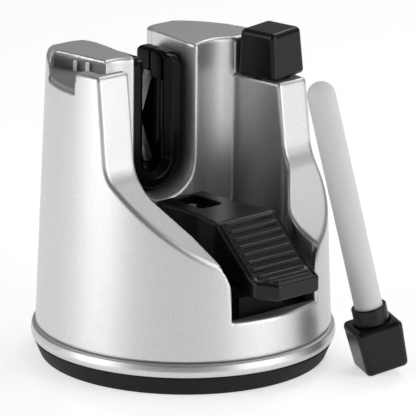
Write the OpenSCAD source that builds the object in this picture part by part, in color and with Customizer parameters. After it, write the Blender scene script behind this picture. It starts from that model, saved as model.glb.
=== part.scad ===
// Manual knife sharpener with a suction base, a knife channel, a scissors notch and two ceramic rods.
// Millimetres, +Z up, the user stands at -Y. The origin is the middle of the foot on the table.

/* [Body] */
// Height of the housing
body_h = 105.2; // [95:0.2:118]
// How far the housing draws in from its foot to its top
cone_draw = 3.9; // [2:0.1:5]
// Slope of the tower tops down to the front, in degrees
top_slope = 4; // [0:0.5:7]
// Where the flat backs of the towers stand, behind the axis
back_y = 37.5; // [36:0.5:42]
// Height at which the flat backs run out to the cone
back_foot_z = 60; // [45:1:70]
// Slope of that run-out, in degrees
back_fall = 25.9; // [20:0.1:32]
// Radius of the bend into the run-out
back_bend_r = 12; // [6:0.5:16]
// Rounding of the towers where the channel ends at the back
back_r = 5; // [2:0.5:7]
// Wall of the housing
wall = 2.8; // [2:0.1:3.2]

/* [Foot] */
// Outer diameter of the base ring
ring_d = 104; // [96:0.5:114]
// How far the base ring stands out from the housing
ring_step = 1.6; // [1:0.1:2.2]
// Height of the base ring
ring_h = 4.5; // [3.5:0.1:8]
// Radial width of the base ring
ring_wall = 4.4; // [3.6:0.1:5.2]
// Height of the rubber foot
foot_h = 6.9; // [6:0.1:9]
// How far the rubber foot draws in from the base ring to the table
foot_in = 3.5; // [2:0.1:6]
// Height of the rubber's middle above its membrane
cup_rise = 2.6; // [2:0.1:3]
// Thickness of the rubber membrane
membrane_t = 1.8; // [1.2:0.1:2]

/* [Lever well] */
// Height of the well floor above the table
floor_z = 22; // [21:0.5:24]
// Thickness of the columns, measured at the top of the right one
column_w = 16.3; // [15.5:0.1:17.2]
// How far each side of the well opens out towards the front
well_flare = 2.6; // [1:0.1:3]
// Where the tower fronts stand, behind the axis
tower_front_y = 9.5; // [8.5:0.1:11]
// Depth of the hollow in each tower front
scoop_depth = 2.4; // [1:0.1:3]
// Width of the front opening
open_w = 37; // [34:0.5:40]
// Widening of the front opening at the lip, on each side
lip_flare = 2.4; // [1:0.1:3]
// Height of the sill of the front opening
sill_z = 25; // [24.5:0.1:27]
// Thickness of the black tray in the well
liner_t = 1.4; // [1:0.1:2]
// Height of the walls of the tray
liner_h = 9; // [6:0.5:22]

/* [Saddle] */
// Distance of the column fronts before the axis, at the top
column_front_y = 8.9; // [8:0.1:10]
// Lean of the column fronts, in degrees
column_lean = 7; // [3:0.5:9]
// Height at which the left column front bends out to the lip
left_bend_z = 72; // [66:0.5:78]
// Height at which the right column front bends out to the lip
right_bend_z = 65; // [62:0.5:74]
// Radius of that bend
bend_r = 12; // [6:0.5:16]
// Height of the lip where the saddle meets the front of the cone
lip_z = 43.3; // [41:0.1:46]
// Distance of the lip behind the front of the cone
lip_in = 4.6; // [4:0.1:6]

/* [Knife channel] */
// Width of the channel between the towers
channel_w = 25.4; // [24.4:0.2:27]
// Depth of the round bottom of the channel below the housing's top
channel_depth = 52.5; // [50.5:0.1:54]
// Depth of the bevel round the front of the channel
channel_bevel = 3; // [1:0.1:3.5]
// Width of that bevel
bevel_w = 1.3; // [0.8:0.1:2.5]
// Where the cartridge's front stands, behind the axis
cartridge_y = 14.1; // [13.6:0.1:14.6]
// Depth of the cartridge along the channel
cartridge_d = 18.4; // [17:0.2:19]
// Depth of the cartridge's arms below the housing's top
arm_drop = 3.9; // [3.2:0.1:6]
// Rounding of the arms' tops, front and rear
arm_r = 4.5; // [3:0.1:5]
// Width of the knife gap between the arms
gap_w = 9.2; // [8.4:0.1:9.6]
// Depth of the step on each face of the cartridge
step_d = 2.4; // [1.5:0.1:3]
// Width of the step on each face of the cartridge
step_w = 1.1; // [0.8:0.1:1.3]
// Width of the bevel that leads a blade into the gap
funnel_w = 2.8; // [2:0.1:3]
// Depth of that bevel
funnel_d = 2.3; // [1.5:0.1:2.5]

/* [Sharpening plates] */
// Depth at which the plates cross below the tops of the arms
cross_drop = 21.8; // [20.5:0.1:22.5]
// Lean of each plate, in degrees
plate_lean = 20; // [18:0.5:21]
// Length of a plate below the crossing
plate_low = 19.8; // [18:0.2:20.2]
// Length of a plate above the crossing
plate_high = 14.4; // [13:0.2:15]
// Depth of a plate along the channel
plate_d = 2; // [1.5:0.1:2.6]
// Thickness of a plate
plate_t = 2.4; // [1.8:0.1:2.6]

/* [Scissors notch] */
// Depth of the notch below the housing's top
notch_depth = 7.3; // [6:0.1:9]
// Depth of the panel's upper edge below the housing's top
panel_drop = 2.6; // [2:0.1:3]
// Rear face of the left column, behind the axis
notch_y = 2.4; // [1.5:0.1:3.5]
// Length of the panel along the notch
notch_l = 19.5; // [17:0.5:21]
// Turn of the panel away from the channel, in degrees
notch_turn = 17; // [12:0.5:20]
// Distance of the panel's front end from the middle
notch_x = 24.8; // [23.5:0.1:26]
// Thickness of the grey insert
insert_t = 1.5; // [1:0.1:2]
// Diameter of a scissors pin
pin_d = 1.3; // [1:0.1:1.5]
// Height of the scissors pins above the insert
pin_h = 3.6; // [3:0.1:4]
// Distance between the scissors pins
pin_pitch = 4.9; // [4:0.1:6]

/* [Rods] */
// Diameter of a ceramic rod
rod_d = 9.6; // [8.6:0.1:9.8]
// Height of the stored rod's tip above the table
rod_tip_z = 4.1; // [4:0.1:14]
// Width of the cube knob at the rod
knob_w = 16.6; // [15.4:0.1:17]
// Width of the cube knob at its free end
knob_end_w = 15; // [14:0.1:16]
// Height of the cube knob
knob_h = 16.6; // [12:0.1:17]
// Rounding of the knob's edges
knob_r = 1.8; // [1:0.1:2.4]
// Height of the collar
collar_h = 5.8; // [4:0.1:6.2]
// Wall of the collar
collar_wall = 1.2; // [0.9:0.1:1.3]
// Depth of the right column's top below the housing's top
seat_drop = 14.6; // [12:0.2:17]
// Turn of the stored knob, in degrees
knob_turn = 7; // [0:0.5:10]
// Wall of the rod's guide tube
sleeve_wall = 0.9; // [0.7:0.1:1]
// Lean of the loose rod, in degrees
loose_lean = 13.6; // [8:0.2:15]
// Distance of the loose rod's foot to the right of the axis
loose_x = 37.5; // [34:0.5:60]
// Direction in which the loose rod leans, in degrees
loose_turn = 24; // [15:1:50]
// Distance of the loose rod's foot before the base ring
loose_out = 7; // [5:0.5:20]

/* [Lever] */
// Width of the ribbed front of the lever
lever_w = 26.4; // [24:0.2:28]
// Width of the rear of the lever
lever_rear_w = 21.2; // [20:0.2:23]
// Height of the lever's rear plate
lever_top_z = 54.5; // [53.5:0.1:55]
// Where the rear plate ends, behind the axis
lever_rear_y = 3.4; // [3:0.1:5]
// Length of the hole in the rear plate
hole_l = 15.2; // [12:0.2:17]
// Width of the hole in the rear plate
hole_w = 9.6; // [8.6:0.1:11]
// Where the pad starts to fall, before the axis
lever_knee_y = 31.4; // [30:0.1:33]
// Where the pad stops falling, before the axis
lever_toe_y = 48.8; // [47.5:0.1:50]
// Height of the nose
lever_nose_z = 38.6; // [38:0.1:40]
// Where the nose ends, before the axis
lever_nose_y = 58; // [56:0.1:60]
// Thickness of the nose
lever_nose_t = 5.6; // [5:0.1:6]
// Wall of the lever
lever_wall = 2.2; // [1.8:0.1:2.4]
// Number of ribs on the grip
rib_count = 10; // [6:1:12]
// Diameter of a rib
rib_d = 1.3; // [1:0.1:1.6]
// Thickness of the grip
grip_t = 1.2; // [1:0.1:1.6]
// Diameter of the lever axle
axle_d = 4; // [3:0.1:4.4]
// Distance of the lever axle before the axis
axle_y = 14; // [13:0.1:15]
// Height of the lever axle
axle_z = 47; // [46.5:0.1:47.5]
// Skin of the lever over the ends of the axle and the cross pin
pin_skin = 0.8; // [0.6:0.1:1.2]
// Thickness of the bracket's ears
ear_t = 2.4; // [2:0.1:2.6]

/* [Suction stem] */
// Diameter of the stem
stem_d = 8; // [7:0.1:9]
// Height of the stem's head
stem_top_z = 50.5; // [49.5:0.1:51]
// Diameter of the cross pin
cross_pin_d = 3; // [2.4:0.1:3.2]
// Radius of the plate over the rubber
cup_plate_r = 10; // [9:0.1:10.6]
// Thickness of that plate
cup_plate_t = 2; // [1.4:0.1:2.2]
// Wire of the return spring
spring_wire = 1.3; // [0.9:0.1:1.4]
// Coils of the return spring
spring_coils = 4; // [3:1:4]

/* [Fits] */
// Gap between parts that are fixed to each other
fit = 0.15; // [0.1:0.05:0.2]
// Gap beside parts that move
run = 0.3; // [0.2:0.05:0.4]
// Radial clearance of an axle or a rod in its bore
bore_fit = 0.06; // [0.03:0.01:0.09]
// Diameter of the screws
screw_d = 3; // [2.4:0.1:3.2]

/* [Hidden] */
$fn = 72;
far = 120;
// Length by which a cut runs past what it cuts
lap = 2;
// Foot and cone
shell_z = foot_h + ring_h;
shell_foot_r = ring_d / 2 - ring_step;
shell_top_r = shell_foot_r - cone_draw;
taper = cone_draw / (body_h - shell_z);
rod_lean = atan(taper);
foot_r = ring_d / 2 - foot_in;
// Heights that follow the housing's top
seat_z = body_h - seat_drop;
notch_z = body_h - notch_depth;
channel_z = body_h - channel_depth;
cartridge_top_z = body_h - arm_drop;
cross_z = cartridge_top_z - cross_drop;
// Places that follow the cone, the stored rod just inside the base ring
rod_x = cone_r(seat_z) + ring_step - ring_wall - fit - rod_d / 2;
rod_l = seat_z + run - collar_h - rod_tip_z;
well_w = 2 * (cone_r(seat_z) - column_w);
lip_y = cone_r(lip_z) - lip_in;
loose_y = ring_d / 2 + loose_out;
// Other derived values
deck_z = floor_z - wall;
collar_r = rod_d / 2 + collar_wall;
liner_z = floor_z + liner_t;
stem_pin_z = axle_z - 1.2;
steel = "#8d9094";
silver = "#c9cbcd";
black = "#1c1c1d";
white = "#f4f4f1";

// Radius of the cone at height z
function cone_r(z) = shell_foot_r - taper * (z - shell_z);
// Points of an arc
function arc(c, r, a0, a1, n = 8) =
    [for (i = [0 : n]) c + r * [cos(a0 + (a1 - a0) * i / n), sin(a0 + (a1 - a0) * i / n)]];
function unit(v) = v / norm(v);
// Points that round the corner p between its neighbours a and b
function corner(a, p, b, r, n = 8) =
    let (u = unit(a - p), v = unit(b - p), half = acos(u * v) / 2, w = unit(u + v))
    let (c = p + w * r / sin(half), s = c - p - u * (r / tan(half)))
    let (a0 = atan2(-s[1], -s[0]), t = c - p - v * (r / tan(half)), a1 = atan2(-t[1], -t[0]))
    let (turn = a1 - a0, short = turn > 180 ? turn - 360 : turn < -180 ? turn + 360 : turn)
    arc(c, r, a0, a0 + short, n);
// An outline with each corner rounded by its own radius, or left sharp where that is 0
function rounded(p, r, n = 8) = [
    for (i = [0 : len(p) - 1])
        let (a = p[(i + len(p) - 1) % len(p)], b = p[(i + 1) % len(p)])
        each (r[i] > 0 ? corner(a, p[i], b, r[i], n) : [p[i]])
];
function flip(p) = [for (i = [len(p) - 1 : -1 : 0]) [-p[i][0], p[i][1]]];
function both(p) = concat(p, flip(p));

// Extrude an outline of (y, z) along X, from x0 over a width
module along_x(x0, w) {
    translate([x0, 0, 0]) rotate([90, 0, 90]) linear_extrude(w) children();
}
// Extrude an outline of (x, z) along Y, from y0 over a depth
module along_y(y0, d) {
    translate([0, y0 + d, 0]) rotate([90, 0, 0]) linear_extrude(d) children();
}
// At the top of the right column, leaning as the cone does
module rod_place() {
    translate([rod_x, 0, seat_z]) rotate([0, -rod_lean, 0]) children();
}
// Stand the loose rod on an edge of its knob, leaning to the body
module loose_place() {
    edge = knob_end_w / 2 - knob_r;
    rise = edge * sin(loose_lean) + knob_r * (1 - cos(loose_lean));
    translate([loose_x, -loose_y, rise]) rotate([0, 0, -loose_turn]) rotate([0, -loose_lean, 0])
        translate([0, 0, knob_h]) children();
}
// A slotted screw along +Z, its head below z = 0
head_h = screw_d * 0.6;
head_d = screw_d * 1.8;
module screw(l) {
    slot_w = 0.6;
    cylinder(h = l, d = screw_d);
    difference() {
        translate([0, 0, -head_h]) cylinder(h = head_h, d = head_d);
        translate([-head_d, -slot_w / 2, -2 * head_h]) cube([2 * head_d, slot_w, head_h * 1.4]);
    }
}

// Housing

// Half outline of the well in plan, from the tower front to the sill, widened by m
well_front_y = -lip_y + 1.1;
function well_half(m, knee_y, waist) = rounded(
    [[0, tower_front_y + m], [well_w / 2 + m, tower_front_y + m], [well_w / 2 + well_flare + m, knee_y],
     waist + [m, 0], [open_w / 2 + lip_flare + m, well_front_y - m], [0, well_front_y - m]],
    [0, 0, 8, 9, 0, 0]);
// The right side of the well draws in further than the left
module well_plan(m = 0) {
    right_waist = [open_w / 2 - 1.2, -33];
    left_waist = [open_w / 2 + 7, -33];
    polygon(concat(well_half(m, -15, right_waist), flip(well_half(m, -20, left_waist))));
}
// Side outline of what the saddle removes, for a bend at height z
function saddle(z) =
    let (y = -column_front_y - (body_h - z) * tan(column_lean), fall = (z - lip_z) / (lip_y + y))
    rounded(
        [[-column_front_y + lap * tan(column_lean), body_h + lap], [y, z],
         [-far, lip_z - fall * (far - lip_y)], [-far, body_h + lap]],
        [0, bend_r, 0, 0]);
module saddle_cut() {
    along_x(-far, far) polygon(saddle(left_bend_z));
    along_x(0, far) polygon(saddle(right_bend_z));
}
// Front opening, which widens to the lip
module opening_cut() {
    half = open_w / 2;
    flare = rounded([[half, sill_z], [half, lip_z - 6.5], [half + lip_flare, lip_z + 0.5],
                     [half + lip_flare, body_h]], [0, 8, 0, 0]);
    along_y(-far, far + well_front_y + 0.5) polygon(both(flare));
}
// Hollow in the front of each tower
module scoop_cut() {
    scoop_z = floor_z + 8;
    x0 = channel_w / 2 + bevel_w;
    half = (well_w / 2 - x0) / 2;
    r = (half * half + scoop_depth * scoop_depth) / (2 * scoop_depth);
    for (s = [-1, 1]) intersection() {
        translate([s * (x0 + half), tower_front_y + scoop_depth - r, scoop_z]) cylinder(h = body_h, r = r);
        translate([s * (x0 + half) - half, tower_front_y - 1, floor_z]) cube([2 * half, far, body_h]);
    }
}
// U-shaped channel, widened by m, from y0 over a depth
module channel(m, y0, d) {
    r = channel_w / 2 + m;
    z = channel_z + channel_w / 2;
    translate([0, y0 + d, z]) rotate([90, 0, 0]) cylinder(h = d, r = r);
    translate([-r, y0, z]) cube([2 * r, d, body_h]);
}
// The channel with its front bevel and the rounded rear corners of the towers
module channel_cut() {
    r = channel_w / 2;
    z = channel_z + r;
    b = channel_bevel;
    channel(0, tower_front_y - 1, far);
    translate([0, tower_front_y + b, z]) rotate([90, 0, 0]) cylinder(h = b, r1 = r, r2 = r + bevel_w);
    translate([0, 0, z]) linear_extrude(body_h)
        polygon(both([[0, tower_front_y + b], [r, tower_front_y + b], [r + bevel_w, tower_front_y],
                      [r + bevel_w, tower_front_y - 1], [0, tower_front_y - 1]]));
    translate([0, 0, z]) linear_extrude(body_h)
        polygon(both(concat([[0, back_y - back_r]], arc([r + back_r, back_y - back_r], back_r, 180, 90),
                            [[r + back_r, far], [0, far]])));
}
// Sloping tops of the towers
module top_cut() {
    z0 = body_h - (back_y - notch_y) * tan(top_slope);
    along_x(-far, 2 * far)
        polygon([[notch_y, z0], [far, z0 + (far - notch_y) * tan(top_slope)], [far, body_h + far],
                 [notch_y, body_h + far]]);
}
// Flat backs of the towers, running out to the cone
module back_cut() {
    along_x(-far, 2 * far)
        polygon(rounded([[back_y, far + body_h], [back_y, back_foot_z],
                         [far, back_foot_z - (far - back_y) * tan(back_fall)], [far, far + body_h]],
                        [0, back_bend_r, 0, 0]));
}
// Level top of the right column
module seat_cut() {
    translate([well_w / 2 - 2, -far, seat_z]) cube([far, far + tower_front_y, far]);
}
// Corners of the scissors notch in plan
notch_in = [-notch_x, tower_front_y + scoop_depth + 1];
notch_end = notch_in + notch_l * [-sin(notch_turn), cos(notch_turn)];
notch_out = [-cone_r(notch_z) * cos(26), cone_r(notch_z) * sin(26)];
module notch_plan(m = 0) {
    polygon([notch_in + [m, -m], notch_end + [m, m], notch_out + [m, m], [-far, notch_out[1] + m],
             [-far, notch_y - m], [-well_w / 2 + 2, notch_y - m]]);
}
// The notch, and the slot behind the top of the left column
module notch_cut() {
    slot_d = 7.6;
    translate([0, 0, notch_z]) linear_extrude(far) notch_plan();
    translate([-well_w / 2 - wall - slot_d, -column_front_y + wall + 1, notch_z]) cube([20, 10, far]);
}
// Hollows that lighten the towers from below
module tower_hollow(s) {
    top = s < 0 ? notch_z - wall : body_h - 8;
    inner = channel_w / 2 + channel_bevel + wall;
    y0 = tower_front_y + scoop_depth + wall;
    intersection() {
        translate([0, 0, shell_z - 1]) linear_extrude(top - shell_z + 1)
            polygon([[s * inner, y0], [s * far, y0], [s * far, back_y - wall], [s * inner, back_y - wall]]);
        translate([0, 0, shell_z - 1])
            cylinder(h = body_h, r1 = cone_r(shell_z - 1) - wall, r2 = cone_r(shell_z - 1 + body_h) - wall);
    }
}
// Places of the screw bosses under the deck
boss_in = 7;
boss_r = shell_foot_r - ring_wall - boss_in;
boss_angles = [35, 145, 215, 325];
module at_bosses() {
    for (a = boss_angles) rotate([0, 0, a]) translate([boss_r, 0, 0]) children();
}
// Room for the tip of the stored rod below the guide tube
module rod_room() {
    depth = collar_h + rod_l + run;
    rod_place() translate([0, 0, -depth]) cylinder(h = depth, d = rod_d + 2 * run);
}
sleeve_d = rod_d + 2 * bore_fit + 2 * sleeve_wall;
// Bore of the right column for the guide tube and, above it, the collar
module rod_bore() {
    rod_place() translate([0, 0, -seat_z]) cylinder(h = seat_z, d = sleeve_d + 2 * fit);
    rod_place() translate([0, 0, -collar_h - 1]) cylinder(h = far, r = collar_r + run);
}
module housing() difference() {
    translate([0, 0, shell_z]) cylinder(h = body_h - shell_z, r1 = shell_foot_r, r2 = shell_top_r);
    saddle_cut();
    translate([0, 0, floor_z]) linear_extrude(far) well_plan();
    opening_cut();
    scoop_cut();
    channel_cut();
    top_cut();
    back_cut();
    seat_cut();
    notch_cut();
    rod_bore();
    for (s = [-1, 1]) tower_hollow(s);
    difference() {
        translate([0, 0, shell_z - 1]) cylinder(h = deck_z - shell_z + 1, r = shell_foot_r - ring_wall);
        at_bosses() cylinder(h = far, r = screw_d + 1);
    }
    at_bosses() cylinder(h = deck_z, d = screw_d + 2 * bore_fit);
    cylinder(h = far, r = stem_d / 2 + run);
    at_bracket_screws() cylinder(h = far, d = screw_d + 2 * bore_fit);
}
// The housing in two shells, which meet just before the tower fronts
seam_y = tower_front_y - 0.5;
module body_shell() color(silver) intersection() {
    housing();
    translate([-far, seam_y - 2 * far, -far]) cube([2 * far, 2 * far, 3 * far]);
}
module tower_shell() color(silver) intersection() {
    housing();
    translate([-far, seam_y, -far]) cube([2 * far, 2 * far, 3 * far]);
}
module base_ring() color(silver) {
    r = ring_d / 2;
    rotate_extrude()
        polygon(rounded([[r - ring_wall, foot_h], [r - 0.4, foot_h], [r, foot_h + ring_h * 0.45],
                         [r - 0.5, shell_z - 0.2], [shell_foot_r - 0.3, shell_z], [r - ring_wall, shell_z]],
                        [0, 0.5, 2, 0.5, 0, 0]));
}
// Rubber foot: a rim on the table, a ledge under the base ring and a membrane
cup_seat_z = membrane_t + cup_rise;
cup_room = 2;
module suction_cup() color(black) {
    rim_w = 3;
    ledge_w = 14;
    lift = 1.2;
    r = ring_d / 2 - 0.6;
    fold_r = r - ledge_w - rim_w;
    flat_r = cup_plate_r + rim_w;
    inner = stem_d / 2 + fit;
    seat = cup_seat_z;
    difference() {
        rotate_extrude()
            polygon([[foot_r - rim_w, 0], [foot_r, 0], [r, foot_h], [r - ledge_w, foot_h],
                     [fold_r, membrane_t + lift], [flat_r, seat], [inner, seat], [inner, seat - membrane_t],
                     [flat_r, seat - membrane_t], [fold_r, lift]]);
        rod_room();
    }
}
module base_plate() color(black) difference() {
    translate([0, 0, foot_h]) cylinder(h = ring_h, r = ring_d / 2 - ring_wall - fit);
    cylinder(h = far, r = cup_plate_r + cup_room);
    at_bosses() cylinder(h = far, d = screw_d + 2 * fit);
    at_bosses() cylinder(h = screw_z, d = head_d + 2 * fit);
    rod_room();
}
// Height at which the heads of the screws seat
screw_z = foot_h + head_h + fit;
module base_screws() color(steel)
    at_bosses() translate([0, 0, screw_z]) screw(deck_z - screw_z - wall);

// Lever well

// Foot of the bracket and its screws
bracket_t = 2.4;
bracket_d = 10;
bracket_screw_x = 12.5;
module at_bracket_screws() {
    for (s = [-1, 1]) translate([s * bracket_screw_x, -axle_y, 0]) children();
}
// Front panel of the tray, inside the hollow of the pressed lever
front_w = lever_w - 2 * lever_wall - 2;
front_h = 8;
module well_liner() color(black) difference() {
    union() {
        translate([0, 0, floor_z]) linear_extrude(liner_t) well_plan(-fit);
        intersection() {
            translate([0, 0, floor_z]) linear_extrude(liner_h) difference() {
                well_plan(-fit);
                well_plan(-fit - liner_t);
            }
            translate([-far, well_front_y + 4, 0]) cube([2 * far, far, far]);
        }
        translate([-front_w / 2, well_front_y + 4, floor_z]) cube([front_w, liner_t, front_h]);
    }
    saddle_margin();
    cylinder(h = far, r = stem_d / 2 + run);
    at_bracket_screws() cylinder(h = far, d = screw_d + 2 * fit);
}
// The tray's walls stay a little below the saddle
module saddle_margin() {
    translate([0, 3, -2.5]) saddle_cut();
}
ear_x = lever_rear_w / 2 - lever_wall - run - ear_t;
module lever_bracket() color(black) difference() {
    union() {
        translate([-bracket_screw_x - 4, -axle_y - bracket_d / 2, liner_z])
            cube([2 * bracket_screw_x + 8, bracket_d, bracket_t]);
        for (s = [-1, 1]) along_x(s * (ear_x + ear_t / 2) - ear_t / 2, ear_t)
            polygon(concat([[-axle_y + bracket_d / 2, liner_z]],
                           arc([-axle_y, axle_z], axle_d / 2 + 2, 0, 180, 16),
                           [[-axle_y - bracket_d / 2, liner_z]]));
    }
    translate([-far / 2, -axle_y, axle_z]) rotate([0, 90, 0]) cylinder(h = far, r = axle_d / 2 + bore_fit);
    at_bracket_screws() cylinder(h = far, d = screw_d + 2 * fit);
    cylinder(h = far, r = stem_d / 2 + run);
}
module bracket_screws() color(steel)
    at_bracket_screws() translate([0, 0, liner_z + bracket_t]) rotate([180, 0, 0])
        screw(liner_z + bracket_t - deck_z);
// Half length of the blind bores in the lever's cheeks
bore_half = lever_rear_w / 2 - pin_skin;
module lever_axle() color(steel)
    translate([fit - bore_half, -axle_y, axle_z]) rotate([0, 90, 0])
        cylinder(h = 2 * (bore_half - fit), d = axle_d);

// Lever

// Side outline of the lever's top, offset downwards by d
function lever_line(d) = [
    [lever_rear_y, lever_top_z - d], [-lever_knee_y, lever_top_z - d],
    [-lever_toe_y, lever_nose_z - d], [-lever_nose_y, lever_nose_z - d]
];
// Lower edge of the lever's skirt, level at the rear and falling to the nose
skirt_z = axle_z - 6;
skirt_front_z = skirt_z - 5;
nose_under_z = lever_nose_z - lever_nose_t;
lever_side = rounded(
    concat(lever_line(0),
           [[-lever_nose_y, nose_under_z], [-lever_toe_y + 2, nose_under_z - 0.4],
            [-lever_knee_y - 4.6, skirt_front_z], [-axle_y - 8, skirt_z], [lever_rear_y, skirt_z]]),
    [2, 4, 7, 1.2, 1, 6, 8, 6, 2]);
// Side outline of the hollow below the lever's skin
skin = lever_wall + grip_t;
lever_inside = rounded(
    concat(lever_line(skin),
           [[-lever_nose_y - 5, lever_nose_z - skin], [-lever_nose_y - 5, floor_z],
            [lever_rear_y + 5, floor_z], [lever_rear_y + 5, lever_top_z - lever_wall]]),
    [0, 3, 5, 0, 0, 0, 0, 0]);
// Half outline of the lever in plan, drawn in by m
function lever_half(m) = rounded(
    [[0, lever_rear_y + 1], [lever_rear_w / 2 - m, lever_rear_y + 1], [lever_rear_w / 2 - m, -20],
     [lever_w / 2 - m, -lever_knee_y + 1], [lever_w / 2 - m, -lever_toe_y - 1.5],
     [lever_w / 2 - m - 4.2, -lever_nose_y + m], [0, -lever_nose_y + m]],
    [0, 2, 16, 10, 4, 3, 0]);
module lever_plan(m) {
    linear_extrude(body_h) polygon(both(lever_half(m)));
}
// Rim left behind the hole in the rear plate
hole_rim = 2.6;
module lever() color(black) difference() {
    intersection() {
        along_x(-lever_w, 2 * lever_w) polygon(lever_side);
        lever_plan(0);
    }
    intersection() {
        along_x(-lever_w, 2 * lever_w) polygon(lever_inside);
        lever_plan(lever_wall);
    }
    translate([0, lever_rear_y - hole_rim - hole_l / 2, lever_top_z - 8]) linear_extrude(20)
        polygon(rounded([[-hole_w / 2, hole_l / 2], [hole_w / 2, hole_l / 2], [hole_w / 2, -hole_l / 2],
                         [-hole_w / 2, -hole_l / 2]], [2, 2, 2, 2]));
    translate([-bore_half, -axle_y, axle_z]) rotate([0, 90, 0])
        cylinder(h = 2 * bore_half, r = axle_d / 2 + bore_fit);
    along_x(-bore_half, 2 * bore_half) polygon(pin_slot);
    grip_shape(-3, grip_t, 0);
}
// Slot in the lever's cheeks for the cross pin
slot_r = cross_pin_d / 2 + 0.12;
slot_half = 0.5;
pin_slot = concat(arc([-slot_half, stem_pin_z], slot_r, 90, 270, 12),
                  arc([slot_half, stem_pin_z], slot_r, -90, 90, 12));
// Bed of the grip: the top skin between knee and nose, a margin in from the lever's edge
grip_margin = 1.1;
function grip_line(d) = [
    [-lever_knee_y - 0.4, lever_top_z - d], [-lever_toe_y, lever_nose_z - d],
    [-lever_nose_y + grip_margin + 0.6, lever_nose_z - d]
];
function reverse(p) = [for (i = [len(p) - 1 : -1 : 0]) p[i]];
function rounded_line(p) = concat([p[0]], corner(p[0], p[1], p[2], 6), [p[2]]);
// The layer of the grip between two depths below the lever's top, drawn in by m
module grip_shape(top, bottom, m) {
    intersection() {
        along_x(-lever_w, 2 * lever_w)
            polygon(concat(rounded_line(grip_line(top)), reverse(rounded_line(grip_line(bottom)))));
        lever_plan(grip_margin + m);
    }
}
// Point at distance s along a path, and the length of a path
function path_at(p, s, i = 0) =
    let (l = norm(p[i + 1] - p[i]))
    (s <= l || i + 2 >= len(p)) ? p[i] + (p[i + 1] - p[i]) * s / l : path_at(p, s - l, i + 1);
function path_l(p, i = 0) = i + 1 >= len(p) ? 0 : norm(p[i + 1] - p[i]) + path_l(p, i + 1);
// Half length of a rib at y, less where the nose is rounded
function rib_half(y) =
    let (nose_l = lever_nose_y - lever_toe_y + 2.5, over = max(0, 2.5 - lever_toe_y - y) / nose_l)
    lever_w / 2 - 1.3 - grip_margin - 5.4 * pow(over, 1.4);
module lever_grip() color(black) {
    grip_shape(fit, grip_t, fit);
    path = rounded_line(grip_line(0));
    first = 1.2;
    last = 1.8;
    pitch = (path_l(path) - first - last) / (rib_count - 1);
    fall = atan((lever_top_z - lever_nose_z) / (lever_toe_y - lever_knee_y));
    sink = grip_t - rib_d / 2 / cos(fall);
    for (i = [0 : rib_count - 1]) {
        p = path_at(path, first + pitch * i);
        h = rib_half(p[0]);
        translate([-h, p[0], p[1] - sink]) rotate([0, 90, 0]) cylinder(h = 2 * h, d = rib_d);
    }
}

// Suction stem

module pull_stem() color(black) difference() {
    flange_t = 1.6;
    flange_z = cup_seat_z - membrane_t - flange_t;
    dome_z = stem_top_z - 3;
    union() {
        translate([0, 0, flange_z]) cylinder(h = flange_t, r = stem_d / 2 + 3);
        translate([0, 0, flange_z + 0.6]) cylinder(h = dome_z - flange_z - 0.6, d = stem_d);
        intersection() {
            translate([0, 0, stem_top_z - stem_d / 2 - 1]) sphere(d = stem_d + 2);
            translate([0, 0, dome_z - 0.2]) cylinder(h = far, d = stem_d);
        }
    }
    translate([-far / 2, 0, stem_pin_z]) rotate([0, 90, 0]) cylinder(h = far, d = cross_pin_d + 2 * bore_fit);
}
module stem_pin() color(steel)
    translate([run - bore_half, 0, stem_pin_z]) rotate([0, 90, 0])
        cylinder(h = 2 * (bore_half - run), d = cross_pin_d);
module cup_plate() color(steel) translate([0, 0, cup_seat_z]) difference() {
    cylinder(h = cup_plate_t, r = cup_plate_r);
    translate([0, 0, -1]) cylinder(h = far, r = stem_d / 2 + bore_fit);
}
// Return spring: one wire along a helix, drawn as rings of six points
spring_r = stem_d / 2 + 0.8 + spring_wire / 2;
spring_z0 = cup_seat_z + cup_plate_t + spring_wire / 2 + 0.05;
spring_z1 = deck_z - spring_wire / 2 - 0.05;
coil_rings = 8 * spring_coils;
function coil_out(i) = let (a = 360 * spring_coils * i / coil_rings) [cos(a), sin(a), 0];
function coil_point(i) =
    spring_r * coil_out(i) + [0, 0, spring_z0 + (spring_z1 - spring_z0) * i / coil_rings];
function coil_ring(i) =
    [for (k = [0 : 5]) coil_point(i) + spring_wire / 2 * (cos(60 * k) * coil_out(i) + [0, 0, sin(60 * k)])];
module return_spring() color(steel) {
    points = [for (i = [0 : coil_rings]) each coil_ring(i)];
    sides = [for (i = [0 : coil_rings - 1]) for (k = [0 : 5])
        let (a = 6 * i + k, b = 6 * i + (k + 1) % 6)
        each [[a, b, b + 6], [a, b + 6, a + 6]]];
    last = 6 * coil_rings;
    ends = [for (k = [1 : 4]) each [[0, k + 1, k], [last, last + k, last + k + 1]]];
    polyhedron(points, concat(sides, ends));
}
echo(least_gap_of_spring = norm(coil_point(8) - coil_point(0)) - spring_wire);

// Sharpening cartridge

// Outline of the cartridge from the front, drawn in by m
function cartridge_half(m) =
    let (r = channel_w / 2 - fit - m, z = channel_z + channel_w / 2, g = gap_w / 2)
    concat(arc([0, z], r, -90, 0, 16),
           corner([r, z], [r, cartridge_top_z - m], [g, cartridge_top_z - m], 5),
           corner([r, cartridge_top_z - m], [g, cartridge_top_z - m], [g, z], 1.6),
           arc([0, window_z0 + g], g, 0, -90, 8));
// Pocket for the plates, and the plane where the halves meet
window_room = 0.67;
window_z0 = cross_z - plate_low * cos(plate_lean) - window_room;
window_z1 = cross_z + plate_high * cos(plate_lean) - lap;
window_d = 4.5;
window_half = 6.2;
cartridge_mid_y = cartridge_y + cartridge_d / 2;
module cartridge_body(y0, d, m) {
    intersection() {
        along_y(y0, d) polygon(both(cartridge_half(m)));
        arm_side();
    }
}
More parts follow.
